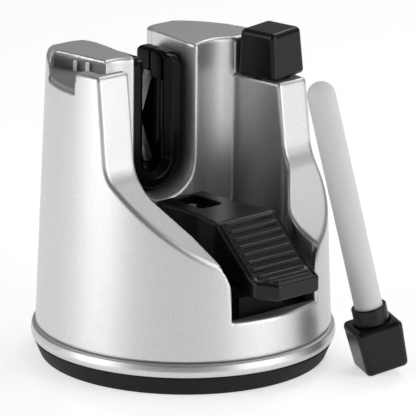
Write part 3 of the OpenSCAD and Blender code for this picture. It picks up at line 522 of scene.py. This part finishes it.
def housing_field(s):
    """The silver cone less its saddle, well, opening, channel, seats and bores."""
    taper = (s.foot_radius - s.top_radius) / (s.height - s.base_z)
    lean = math.atan(taper)
    r, bevel, bevel_w = s.channel_width / 2, s.channel_bevel, s.bevel_width
    bevel_lead = bevel / math.hypot(bevel, bevel_w)
    axis_z = s.channel_z + r
    half = s.open_width / 2
    well = outline(well_outline(s))
    left = outline(saddle_outline(s, s.left_bend_z))
    right = outline(saddle_outline(s, s.right_bend_z))
    opening = outline(both(rounded([(half, SILL_Z), (half, s.lip_z - 6.5), (half + LIP_FLARE, s.lip_z + 0.5),
                                    (half + LIP_FLARE, s.height)], [0, 8, 0, 0])))
    rear_x, rear_y = r + REAR_RADIUS, BACK_Y - REAR_RADIUS
    rear_edge = arc((rear_x, rear_y), REAR_RADIUS, 180, 90)
    rear = outline(both([(0, rear_y)] + rear_edge + [(rear_x, FAR), (0, FAR)]))
    back = outline(rounded([(BACK_Y, s.height + 10), (BACK_Y, 60), (FAR, 20), (FAR, s.height + 10)],
                           [0, 12, 0, 0]))
    notch = outline(notch_outline(s, s.foot_radius - taper * (s.notch_z - s.base_z)))
    scoop_x0 = r + bevel_w
    scoop_half = (s.well_width / 2 - scoop_x0) / 2
    scoop_r = (scoop_half ** 2 + SCOOP_DEPTH ** 2) / (2 * SCOOP_DEPTH)
    slant = math.radians(TOP_SLOPE)
    top_z = s.height - (BACK_Y - NOTCH_Y) * math.tan(slant)

    def field(x, y, z):
        cone = (np.hypot(x, y) - s.foot_radius + taper * (z - s.base_z)) * math.cos(lean)
        saddle = np.where(x < 0, left(y, z), right(y, z))
        in_well = np.maximum(well(x, y), WELL_FLOOR_Z - z)
        in_opening = np.maximum(opening(x, z), y - WELL_FRONT_Y - 0.5)
        u_shape = np.where(z > axis_z, np.abs(x), np.hypot(x, np.minimum(z - axis_z, 0))) - r
        before = TOWER_Y - 1 - y
        channel = np.maximum(u_shape, before)
        funnel = np.maximum((u_shape - bevel_w * (TOWER_Y + bevel - y) / bevel) * bevel_lead, before)
        rear_round = np.maximum(rear(x, y), axis_z - z)
        above = (top_z + (y - NOTCH_Y) * math.tan(slant) - z) * math.cos(slant)
        above = np.maximum(above, NOTCH_Y - y)
        seat = np.maximum(np.maximum(s.well_width / 2 - 2 - x, y - TOWER_Y), s.seat_z - z)
        scoop = np.hypot(np.abs(x) - scoop_x0 - scoop_half, y - TOWER_Y - SCOOP_DEPTH + scoop_r) - scoop_r
        scoop = np.maximum(np.maximum(scoop, np.abs(x) - s.well_width / 2), np.maximum(SCOOP_Z - z, before))
        shell = rounded_common([cone, s.base_z - z, z - s.height, -saddle, -in_well, -in_opening, -rear_round,
                                -above, -back(y, z), -seat, -scoop], s.edge)
        in_notch = np.maximum(notch(x, y), s.notch_z - z)
        slot = np.maximum(np.maximum(SLOT_X[0] - x, x - SLOT_X[1]), np.maximum(SLOT_Y[0] - y, y - SLOT_Y[1]))
        in_slot = np.maximum(slot, s.notch_z - z)
        up = -(x - ROD_X) * math.sin(lean) + (z - s.seat_z) * math.cos(lean)
        off = np.hypot((x - ROD_X) * math.cos(lean) + (z - s.seat_z) * math.sin(lean), y)
        bore = off - np.where(up > -COLLAR_SEAT_DEPTH, COLLAR_SEAT_R, SLEEVE_R)
        deck = np.maximum(np.hypot(x, y) - s.foot_radius + SKIRT_WALL, z - DECK_Z)
        stem = np.hypot(x, y) - STEM_BORE_R
        return rounded_common([shell, -channel, -funnel, -in_notch, -in_slot, -bore, -deck, -stem], CUT_EDGE)

    return field


class SHARPENER_OT_housing(Operator):
    """Builds the silver housing with its towers, columns and saddle"""

    bl_idname = "sharpener.housing"
    bl_label = "Housing"

    def execute(self, context):
        s = in_mm(context.scene.sharpener_housing)
        r = s.foot_radius
        mesh = moulded("housing", housing_field(s), (-r, -r, s.base_z), (r, r, s.height), STEPS["housing"])
        new_piece("housing", mesh, "housing", "silver", finish("silver"), "body_shell", "tower_shell")
        return {"FINISHED"}


# Base ring and foot

# How far the ring draws in at its bottom, shoulder and top, its bulge's height and its shoulder's depth
RING_UNDER, RING_SHOULDER, RING_TOP, RING_BULGE, RING_FALL = 0.4, 0.5, 0.3, 2, 0.2
# The foot's rim lies inside the ring, and the inner edges of its flange and web inside the rim
RIM_IN, WEB_IN, FLANGE = 0.6, 17, 14
SOLE_R, SOLE_EDGE_R, PAD_R, FOOT_HOLE_R = 45.5, 48.5, 13, 4.15
PAD_TOP_Z, PAD_UNDER_Z, WEB_TOP_Z, WEB_UNDER_Z = 4.4, 2.6, 3, 1.2


class SHARPENER_OT_base(Operator):
    """Builds the silver base ring and the rubber suction foot"""

    bl_idname = "sharpener.base"
    bl_label = "Base ring and foot"

    def execute(self, context):
        s = in_mm(context.scene.sharpener_housing)
        r, z0, z1 = s.ring_radius, s.rubber_z, s.base_z
        inner = r - SKIRT_WALL
        ring = rounded([(inner, z0), (r - RING_UNDER, z0), (r, z0 + RING_BULGE),
                        (r - RING_SHOULDER, z1 - RING_FALL), (s.foot_radius - RING_TOP, z1), (inner, z1)],
                       [0.3, 0.8, 2, 0.8, 0.3, 0])
        mesh = turned("base_trim_ring", ring)
        new_piece("base_trim_ring", mesh, "housing", "silver", finish("silver"), "base_ring")
        rim = r - RIM_IN
        web = rim - WEB_IN
        foot = rounded([(SOLE_R, 0), (SOLE_EDGE_R, 0), (rim, z0), (rim - FLANGE, z0), (web, WEB_TOP_Z),
                        (PAD_R, PAD_TOP_Z), (FOOT_HOLE_R, PAD_TOP_Z), (FOOT_HOLE_R, PAD_UNDER_Z),
                        (PAD_R, PAD_UNDER_Z), (web, WEB_UNDER_Z)], [0.6, 1.6, 0.8, 1, 2, 1, 0.3, 0.3, 1, 2])
        mesh = turned("suction_foot", foot)
        new_piece("suction_foot", mesh, "housing", "rubber", finish("rubber"), "suction_cup")
        return {"FINISHED"}


# Lever

# Distances along the lever of its rear, knee, toe and nose, and the place of its axle
REAR_Y, KNEE_Y, TOE_Y, NOSE_Y = 3.4, 31.4, 48.8, 58
AXLE_Y, AXLE_Z = 14, 47
AXLE_BORE_R, PIN_SLOT_R, PIN_DROP, BLIND_WALL = 2.06, 1.62, 1.2, 0.8
LEVER_WALL, NOSE_DEPTH, SKIRT_DROP = 2.2, 5.6, 6
# The stem hole's half width, half length and distance from the rear edge
HOLE_W, HOLE_L, HOLE_EDGE = 4.8, 7.6, 2.6
GRIP_MARGIN, GRIP_FIT = 1.1, 0.15
RIB_START, RIB_END, RIB_MARGIN = 1.2, 1.8, 1.3
# Ribs get shorter towards the nose: from where before the toe, by how much, and the power of that curve
RIB_LEAD, RIB_DRAW, RIB_POWER = 2.5, 5.4, 1.4
LEVER_CUT_EDGE, GRIP_EDGE, RIB_FILLET = 0.45, 0.3, 0.2


def lever_line(s, d):
    """Side view of the lever's top, lowered by d."""
    return [(REAR_Y, s.top_z - d), (-KNEE_Y, s.top_z - d), (-TOE_Y, s.nose_z - d), (-NOSE_Y, s.nose_z - d)]


def lever_plan(s, m):
    """Plan of the lever, drawn in by m."""
    w, rear = s.width / 2 - m, s.rear_width / 2 - m
    half = [(0, REAR_Y + 1), (rear, REAR_Y + 1), (rear, -20), (w, -KNEE_Y + 1), (w, -TOE_Y - 1.5),
            (w - 4.2, -NOSE_Y + m), (0, -NOSE_Y + m)]
    return both(rounded(half, [0, 2, 16, 10, 4, 3, 0]))


def grip_line(s, d):
    """Side view of the grip's top, lowered by d, with its bend rounded."""
    knee, toe = (-KNEE_Y - 0.4, s.top_z - d), (-TOE_Y, s.nose_z - d)
    end = (-NOSE_Y + GRIP_MARGIN + 0.6, s.nose_z - d)
    return [knee] + corner(knee, toe, end, 6) + [end]


def lever_field(s):
    """The hollow lever with its stem hole, axle bore, pin slot and grip bed."""
    nose_under = s.nose_z - NOSE_DEPTH
    skirt = AXLE_Z - SKIRT_DROP
    skin = LEVER_WALL + s.grip
    under = [(-NOSE_Y, nose_under), (-TOE_Y + 2, nose_under - 0.4), (-KNEE_Y - 4.6, skirt - 5),
             (-AXLE_Y - 8, skirt), (REAR_Y, skirt)]
    side = outline(rounded(lever_line(s, 0) + under, [2, 4, 7, 1.2, 1, 6, 8, 6, 2]))
    past, below = 5, 22
    open_end = [(-NOSE_Y - past, s.nose_z - skin), (-NOSE_Y - past, below), (REAR_Y + past, below),
                (REAR_Y + past, s.top_z - LEVER_WALL)]
    inside = outline(rounded(lever_line(s, skin) + open_end, [0, 3, 5, 0, 0, 0, 0, 0]))
    plan, inner = outline(lever_plan(s, 0)), outline(lever_plan(s, LEVER_WALL))
    rear = REAR_Y - HOLE_EDGE
    front = rear - 2 * HOLE_L
    hole = outline(rounded([(-HOLE_W, rear), (HOLE_W, rear), (HOLE_W, front), (-HOLE_W, front)], [2] * 4))
    bed = outline(grip_line(s, -3) + grip_line(s, s.grip)[::-1])
    bed_plan = outline(lever_plan(s, GRIP_MARGIN))
    pin_z = AXLE_Z - PIN_DROP

    def field(x, y, z):
        block = rounded_common([side(y, z), plan(x, y)], s.edge)
        hollow = np.maximum(inside(y, z), inner(x, y))
        opening = np.maximum(hole(x, y), s.top_z - 8 - z)
        blind = np.abs(x) - s.rear_width / 2 + BLIND_WALL
        axle = np.maximum(np.hypot(y + AXLE_Y, z - AXLE_Z) - AXLE_BORE_R, blind)
        slot = np.maximum(np.hypot(np.maximum(np.abs(y) - 0.5, 0), z - pin_z) - PIN_SLOT_R, blind)
        seat = np.maximum(bed(y, z), bed_plan(x, y))
        return rounded_common([block, -hollow, -opening, -axle, -slot, -seat], LEVER_CUT_EDGE)

    return field


def rib_places(s):
    """Middle and half length of each rib along the grip."""
    path = np.array(grip_line(s, 0))
    along = np.concatenate([[0], np.cumsum(np.linalg.norm(np.diff(path, axis=0), axis=1))])
    fall = math.atan((s.top_z - s.nose_z) / (TOE_Y - KNEE_Y))
    sink = s.grip - s.rib / 2 / math.cos(fall)
    places = []
    nose_start = TOE_Y - RIB_LEAD
    for d in np.linspace(RIB_START, along[-1] - RIB_END, s.ribs):
        y, z = np.interp(d, along, path[:, 0]), np.interp(d, along, path[:, 1])
        over = max(0, -nose_start - y) / (NOSE_Y - nose_start)
        half = s.width / 2 - RIB_MARGIN - GRIP_MARGIN - RIB_DRAW * over ** RIB_POWER
        places.append((y, z - sink, half))
    return places


def grip_field(s):
    """The bent pad with its round-ended ribs."""
    layer = outline(grip_line(s, GRIP_FIT) + grip_line(s, s.grip)[::-1])
    plan = outline(lever_plan(s, GRIP_MARGIN + GRIP_FIT))
    ribs = rib_places(s)

    def field(x, y, z):
        pad = rounded_common([layer(y, z), plan(x, y)], GRIP_EDGE)
        rib = np.inf
        for rib_y, rib_z, half in ribs:
            beyond = np.maximum(np.abs(x) - half + s.rib / 2, 0)
            rib = np.minimum(rib, np.sqrt(beyond ** 2 + (y - rib_y) ** 2 + (z - rib_z) ** 2) - s.rib / 2)
        return rounded_sum(pad, rib, RIB_FILLET)

    return field


class SHARPENER_OT_lever(Operator):
    """Builds the satin black suction lever and its ribbed grip"""

    bl_idname = "sharpener.lever"
    bl_label = "Lever and grip"

    def execute(self, context):
        s = in_mm(context.scene.sharpener_lever)
        w = s.width / 2
        low, high = (-w, -NOSE_Y, s.nose_z - 7), (w, REAR_Y, s.top_z)
        mesh = moulded("suction_lever", lever_field(s), low, high, STEPS["lever"])
        new_piece("suction_lever", mesh, "lever", "black_satin", finish("satin"), "lever")
        low, high = (-w, -NOSE_Y, s.nose_z - 2), (w, -KNEE_Y + 1, s.top_z + 1)
        mesh = moulded("ribbed_grip", grip_field(s), low, high, STEPS["grip"])
        new_piece("ribbed_grip", mesh, "lever", "black_satin", finish("satin"), "lever_grip")
        return {"FINISHED"}


# Cartridge

# The window for the plates: bottom, top, reach into the arms and half depth
WINDOW_Z0, WINDOW_Z1, WINDOW_REACH, WINDOW_HALF = 60.22, 91.03, 4.5, 6.2
STEP_DEPTH, STEP_WIDTH, STEP_FILLET = 2.4, 1.1, 0.3
ARM_OUTER_R, ARM_INNER_R = 5, 1.6
CARTRIDGE_FIT, GROOVE_DEPTH, CARTRIDGE_CUT_EDGE = 0.15, 0.4, 0.3


def cartridge_outline(s, channel, m):
    """Front view of the U-shaped cartridge, drawn in by m."""
    r, g, top = channel.channel_width / 2 - CARTRIDGE_FIT - m, s.gap / 2, s.top_z - m
    z = channel.channel_z + channel.channel_width / 2
    half = (arc((0, z), r, -90, 0, 16) + corner((r, z), (r, top), (g, top), ARM_OUTER_R)
            + corner((r, top), (g, top), (g, z), ARM_INNER_R) + arc((0, WINDOW_Z0 + g), g, 0, -90))
    return both(half)


def cartridge_field(s, channel, front):
    """One half of the cartridge: a flat ring, a stepped face and a funnel into the gap."""
    face, rear = s.front_y, s.front_y + s.depth
    outer = outline(cartridge_outline(s, channel, 0))
    inner = outline(cartridge_outline(s, channel, STEP_WIDTH))
    side = outline(rounded([(face, 0), (face, s.top_z), (rear, s.top_z), (rear, 0)],
                           [0, s.arm_round, s.arm_round, 0]))
    g, gap_z = s.gap / 2, WINDOW_Z0 + s.gap / 2
    lead = s.funnel_depth / math.hypot(s.funnel, s.funnel_depth)

    def field(x, y, z):
        d = y - face if front else rear - y
        over = side(y, z)
        flat = rounded_common([outer(x, z), STEP_DEPTH - d, over], s.edge)
        raised = rounded_common([inner(x, z), -d, over], s.edge)
        block = np.maximum(rounded_sum(flat, raised, STEP_FILLET), d - s.depth / 2)
        gap = np.where(z > gap_z, np.abs(x), np.hypot(x, np.minimum(z - gap_z, 0))) - g
        funnel = (gap - s.funnel * (1 - d / s.funnel_depth)) * lead
        window = np.maximum(np.maximum(np.abs(x) - g - WINDOW_REACH, s.depth / 2 - WINDOW_HALF - d),
                            np.maximum(WINDOW_Z0 - z, z - WINDOW_Z1))
        groove = np.maximum(s.depth / 2 - GROOVE_DEPTH - d, WINDOW_Z1 - 1 - z)
        return rounded_common([block, -funnel, -window, -groove], CARTRIDGE_CUT_EDGE)

    return field


class SHARPENER_OT_cartridge(Operator):
    """Builds the glossy black cartridge halves and finishes the crossed plates"""

    bl_idname = "sharpener.cartridge"
    bl_label = "Cartridge and plates"

    def execute(self, context):
        s = in_mm(context.scene.sharpener_cartridge)
        channel = in_mm(context.scene.sharpener_housing)
        r, middle = channel.channel_width / 2, s.front_y + s.depth / 2
        for node, front in (("cartridge_front", True), ("cartridge_rear", False)):
            y0, y1 = (s.front_y, middle) if front else (middle, s.front_y + s.depth)
            low, high = (-r, y0, channel.channel_z), (r, y1, s.top_z)
            mesh = moulded(node + "_shell", cartridge_field(s, channel, front), low, high, STEPS["cartridge"])
            new_piece(node + "_shell", mesh, "housing", "black_gloss", finish("gloss"), node)
        wear("ground", "plate_left", "plate_right")
        wear("steel", "cartridge_screws")
        return {"FINISHED"}


class SHARPENER_OT_scissors(Operator):
    """Finishes the grey insert and the white pins of the scissors notch"""

    bl_idname = "sharpener.scissors"
    bl_label = "Scissors notch"

    def execute(self, context):
        wear("insert", "scissor_insert")
        wear("ceramic", "scissor_pins")
        return {"FINISHED"}


# Rods

STORED_LIFT, STORED_TURN = 0.3, 7
# The loose rod: where its knob stands, the turn of the knob and the lean of the rod
LOOSE_X, LOOSE_Y, LOOSE_TURN, LOOSE_LEAN = 37.5, -59, -24, 13.6
SOCKET_DEPTH, RECESS_DEPTH, ROD_FIT, COLLAR_FIT, KNOB_CUT_EDGE = 8, 1.2, 0.06, 0.3, 0.3
ROD_SEGMENTS = 96


def turn(degrees, axis):
    """A rotation in degrees."""
    return Matrix.Rotation(math.radians(degrees), 4, axis)


def shift(x, y, z):
    """A move in millimetres."""
    return Matrix.Translation((x / 1000, y / 1000, z / 1000))


def stored_place(h):
    """Knob up, in the right column, leaning with the cone."""
    lean = math.degrees(math.atan((h.foot_radius - h.top_radius) / (h.height - h.base_z)))
    seat = shift(ROD_X, 0, h.seat_z) @ turn(-lean, "Y") @ shift(0, 0, STORED_LIFT)
    return seat @ turn(STORED_TURN, "Z") @ turn(180, "X")


def loose_place(s):
    """Standing on an edge of its knob beside the housing."""
    lean = math.radians(LOOSE_LEAN)
    rise = (s.knob_end / 2 - s.knob_edge) * math.sin(lean) + s.knob_edge * (1 - math.cos(lean))
    stand = shift(LOOSE_X, LOOSE_Y, rise) @ turn(LOOSE_TURN, "Z")
    return stand @ turn(-LOOSE_LEAN, "Y") @ shift(0, 0, s.knob_height)


def knob_field(s):
    """A tapered cube with rounded edges, a recess for the collar and a socket for the rod."""
    r = s.knob_edge

    def field(x, y, z):
        share = np.clip((z + s.knob_height) / s.knob_height, 0, 1)
        half = s.knob_end / 2 + (s.knob - s.knob_end) / 2 * share - r
        q = np.abs(x) - half, np.abs(y) - half, np.abs(z + s.knob_height / 2) - s.knob_height / 2 + r
        cube = np.sqrt(sum(np.maximum(v, 0) ** 2 for v in q)) - r
        cube = cube + np.minimum(np.maximum(np.maximum(q[0], q[1]), q[2]), 0)
        off = np.hypot(x, y) - s.rod / 2
        recess = np.maximum(off - s.collar_wall - COLLAR_FIT, -RECESS_DEPTH - z)
        socket = np.maximum(off - ROD_FIT, -SOCKET_DEPTH - z)
        return rounded_common([cube, -recess, -socket], KNOB_CUT_EDGE)

    return field


def collar_profile(s):
    """Section of the thin-walled collar."""
    inner, outer = s.rod / 2 + ROD_FIT, s.rod / 2 + s.collar_wall
    low, top = -RECESS_DEPTH, s.collar_height
    return rounded([(inner, low), (outer, low), (outer, top), (inner, top)], [0, 0, 0.45, 0.3])


def rod_profile(s):
    """Section of the rod with its domed tip."""
    r, straight = s.rod / 2, s.collar_height + s.rod_length - s.rod / 2
    return [(0.01, -SOCKET_DEPTH), (r, -SOCKET_DEPTH)] + arc((0, straight), r, 0, 89.9, 16)


class SHARPENER_OT_rods(Operator):
    """Builds the stored and the loose ceramic rod with collar and cube knob"""

    bl_idname = "sharpener.rods"
    bl_label = "Ceramic rods"

    def execute(self, context):
        s = in_mm(context.scene.sharpener_rods)
        places = {"stored": stored_place(in_mm(context.scene.sharpener_housing)), "loose": loose_place(s)}
        w = s.knob / 2
        for which, place in places.items():
            body = which + "_rod"
            low, high = (-w, -w, -s.knob_height), (w, w, 0)
            mesh = moulded(which + "_cube_knob", knob_field(s), low, high, STEPS["knob"], place)
            new_piece(which + "_cube_knob", mesh, body, "black_satin", finish("satin"), which + "_knob")
            mesh = turned(which + "_collar_cup", collar_profile(s), place, ROD_SEGMENTS)
            new_piece(which + "_collar_cup", mesh, body, "black_satin", finish("satin"), which + "_collar")
            mesh = turned(which + "_ceramic_rod", rod_profile(s), place, ROD_SEGMENTS)
            new_piece(which + "_ceramic_rod", mesh, body, "ceramic", finish("ceramic"), which + "_rod")
        return {"FINISHED"}


class SHARPENER_OT_inner_parts(Operator):
    """Finishes the carried-over parts inside the housing"""

    bl_idname = "sharpener.inner_parts"
    bl_label = "Inner parts"

    def execute(self, context):
        wear("steel", "base_screws", "bracket_screws", "lever_axle", "stem_pin", "cup_plate", "return_spring",
             "pull_stem")
        wear("matte", "base_plate", "well_liner", "lever_bracket", "rod_sleeve")
        return {"FINISHED"}


# Studio

FLOOR_ROUGH, FLOOR_SHINE, FLOOR_GRAIN, FLOOR_CHANGE, FLOOR_REACH = 0.35, 0.25, 30, 0.006, 5
# The camera: its azimuth, elevation, pitch, yaw and roll in degrees, and the height that it circles
CAMERA_TURN = -41.41
CAMERA_ANGLES = (15.933, 16.277, 0.309, 0.433)
MIDDLE_Z = 0.06
SENSOR_WIDTH = 36
# Where the room starts to brighten, from -1 towards the camera to 1 behind the object
ROOM_START = -0.5
# Softboxes: degrees to the right of the camera, and in metres the height, distance, height aimed at and size
SOFTBOXES = {
    "left": dict(azimuth=-67, height=0.45, distance=1.0, aim=0.45, size=(0.65, 0.9)),
    "right": dict(azimuth=60, height=0.45, distance=1.0, aim=0.45, size=(0.75, 0.9)),
    "top": dict(azimuth=110, height=1.05, distance=0.75, aim=0.05, size=(0.8, 0.8)),
    "back": dict(azimuth=153, height=0.95, distance=0.85, aim=0.05, size=(0.4, 0.4)),
}


def floor_finish(base, lifted):
    """Pale floor that shows as white and keeps the shadow."""
    made, nodes, links, shader = base_finish("studio_floor")
    shader.inputs["Roughness"].default_value = FLOOR_ROUGH
    shader.inputs["Specular IOR Level"].default_value = FLOOR_SHINE
    cloud = grain(nodes, links, FLOOR_GRAIN)
    links.new(tint(nodes, links, cloud, base, FLOOR_CHANGE), shader.inputs["Base Color"])
    rays = nodes.new("ShaderNodeLightPath")
    seen = nodes.new("ShaderNodeMath")
    seen.operation = "MAXIMUM"
    shown = nodes.new("ShaderNodeMath")
    shown.operation = "MAXIMUM"
    lift = nodes.new("ShaderNodeMath")
    lift.operation = "MULTIPLY"
    lift.inputs[1].default_value = lifted
    links.new(rays.outputs["Is Camera Ray"], seen.inputs[0])
    links.new(rays.outputs["Is Glossy Ray"], seen.inputs[1])
    links.new(seen.outputs["Value"], shown.inputs[0])
    links.new(rays.outputs["Is Transmission Ray"], shown.inputs[1])
    links.new(shown.outputs["Value"], lift.inputs[0])
    shader.inputs["Emission Color"].default_value = (1, 1, 1, 1)
    links.new(lift.outputs["Value"], shader.inputs["Emission Strength"])
    return made


def softbox(name, azimuth, height, distance, aim, size, power):
    """A large area lamp aimed at a height on the axis."""
    lamp = bpy.data.lights.new(name, "AREA")
    lamp.shape, lamp.size, lamp.size_y, lamp.energy = "RECTANGLE", size[0], size[1], power
    a = math.radians(azimuth)
    right, toward = camera_axes()
    spot = (right * math.sin(a) + toward * math.cos(a)) * distance + Vector((0, 0, height))
    box = bpy.data.objects.new(name, lamp)
    box.location = spot
    box.rotation_euler = (Vector((0, 0, aim)) - spot).to_track_quat("-Z", "Y").to_euler()
    bpy.context.scene.collection.objects.link(box)


def add_room(front, back):
    """A dim room that is darker on the camera's side."""
    world = bpy.data.worlds.new("studio_room")
    world.use_nodes = True
    nodes, links = world.node_tree.nodes, world.node_tree.links
    place = nodes.new("ShaderNodeTexCoord")
    depth = nodes.new("ShaderNodeVectorMath")
    depth.operation = "DOT_PRODUCT"
    depth.inputs[1].default_value = -camera_axes()[1]
    level = nodes.new("ShaderNodeMapRange")
    level.inputs["From Min"].default_value = ROOM_START
    level.inputs["To Min"].default_value = front
    level.inputs["To Max"].default_value = back
    links.new(place.outputs["Generated"], depth.inputs[0])
    links.new(depth.outputs["Value"], level.inputs["Value"])
    backing = nodes["Background"]
    backing.inputs["Color"].default_value = (1, 1, 1, 1)
    links.new(level.outputs["Result"], backing.inputs["Strength"])
    bpy.context.scene.world = world


def camera_axes():
    """Level directions to the camera's right and towards the camera."""
    a = math.radians(CAMERA_TURN)
    return Vector((math.cos(a), math.sin(a), 0)), Vector((math.sin(a), -math.cos(a), 0))


def add_camera(lens, distance):
    """The camera at the photograph's angle."""
    right, toward = camera_axes()
    rise, pitch, yaw, roll = (math.radians(v) for v in CAMERA_ANGLES)
    up = Vector((0, 0, 1))
    ahead = -toward * math.cos(pitch) - up * math.sin(pitch)
    over = -toward * math.sin(pitch) + up * math.cos(pitch)
    view = ahead * math.cos(yaw) + right * math.sin(yaw)
    side = right * math.cos(yaw) - ahead * math.sin(yaw)
    x = side * math.cos(roll) + over * math.sin(roll)
    y = over * math.cos(roll) - side * math.sin(roll)
    lens_data = bpy.data.cameras.new("photo_camera")
    lens_data.lens, lens_data.sensor_width = lens, SENSOR_WIDTH
    lens_data.clip_start, lens_data.clip_end = 0.05, 20
    camera = bpy.data.objects.new("photo_camera", lens_data)
    spot = toward * distance * math.cos(rise) + up * (MIDDLE_Z + distance * math.sin(rise))
    camera.matrix_world = Matrix.Translation(spot) @ Matrix((x, y, -view)).transposed().to_4x4()
    bpy.context.scene.collection.objects.link(camera)
    bpy.context.scene.camera = camera


class SHARPENER_OT_stage(Operator):
    """Sets the floor, the soft studio light and the camera"""

    bl_idname = "sharpener.stage"
    bl_label = "Studio"

    def execute(self, context):
        s = context.scene.sharpener_studio
        mesh = bpy.data.meshes.new("studio_floor")
        w = FLOOR_REACH
        mesh.from_pydata([(-w, -w, 0), (w, -w, 0), (w, w, 0), (-w, w, 0)], [], [(0, 1, 2, 3)])
        mesh.materials.append(floor_finish(tuple(s.floor), s.floor_lift))
        floor = bpy.data.objects.new("studio_floor", mesh)
        context.scene.collection.objects.link(floor)
        for side, place in SOFTBOXES.items():
            softbox(side + "_softbox", power=getattr(s, side + "_power"), **place)
        add_room(s.room_front, s.room_back)
        add_camera(s.lens, s.distance)
        context.scene.view_settings.view_transform = "Standard"
        return {"FINISHED"}


class SHARPENER_PT_panel(Panel):
    """Lists the pieces and their sizes"""

    bl_label = "Knife sharpener"
    bl_idname = "SHARPENER_PT_panel"
    bl_space_type = "VIEW_3D"
    bl_region_type = "UI"
    bl_category = "Sharpener"

    def draw(self, context):
        for operator in OPERATORS:
            self.layout.operator(operator.bl_idname)
        for name, group in GROUPS.items():
            box = self.layout.box()
            box.label(text=group.__doc__)
            for p in getattr(context.scene, name).bl_rna.properties:
                if p.identifier not in ("rna_type", "name"):
                    box.prop(getattr(context.scene, name), p.identifier)


GROUPS = {
    "sharpener_housing": HousingSizes,
    "sharpener_lever": LeverSizes,
    "sharpener_cartridge": CartridgeSizes,
    "sharpener_rods": RodSizes,
    "sharpener_colours": FinishColours,
    "sharpener_studio": StudioSettings,
}
OPERATORS = (SHARPENER_OT_housing, SHARPENER_OT_base, SHARPENER_OT_lever, SHARPENER_OT_cartridge,
             SHARPENER_OT_scissors, SHARPENER_OT_rods, SHARPENER_OT_inner_parts, SHARPENER_OT_stage)


def register():
    """Registers the groups, operators and panel."""
    for name, group in GROUPS.items():
        bpy.utils.register_class(group)
        setattr(bpy.types.Scene, name, PointerProperty(type=group))
    for cls in OPERATORS + (SHARPENER_PT_panel,):
        bpy.utils.register_class(cls)


def unregister():
    """Removes what register added."""
    for cls in reversed(OPERATORS + (SHARPENER_PT_panel,)):
        bpy.utils.unregister_class(cls)
    for name, group in reversed(GROUPS.items()):
        delattr(bpy.types.Scene, name)
        bpy.utils.unregister_class(group)


def main():
    """Builds every piece in order."""
    register()
    bpy.ops.sharpener.housing()
    bpy.ops.sharpener.base()
    bpy.ops.sharpener.lever()
    bpy.ops.sharpener.cartridge()
    bpy.ops.sharpener.scissors()
    bpy.ops.sharpener.rods()
    bpy.ops.sharpener.inner_parts()
    bpy.ops.sharpener.stage()


if __name__ == "__main__":
    main()
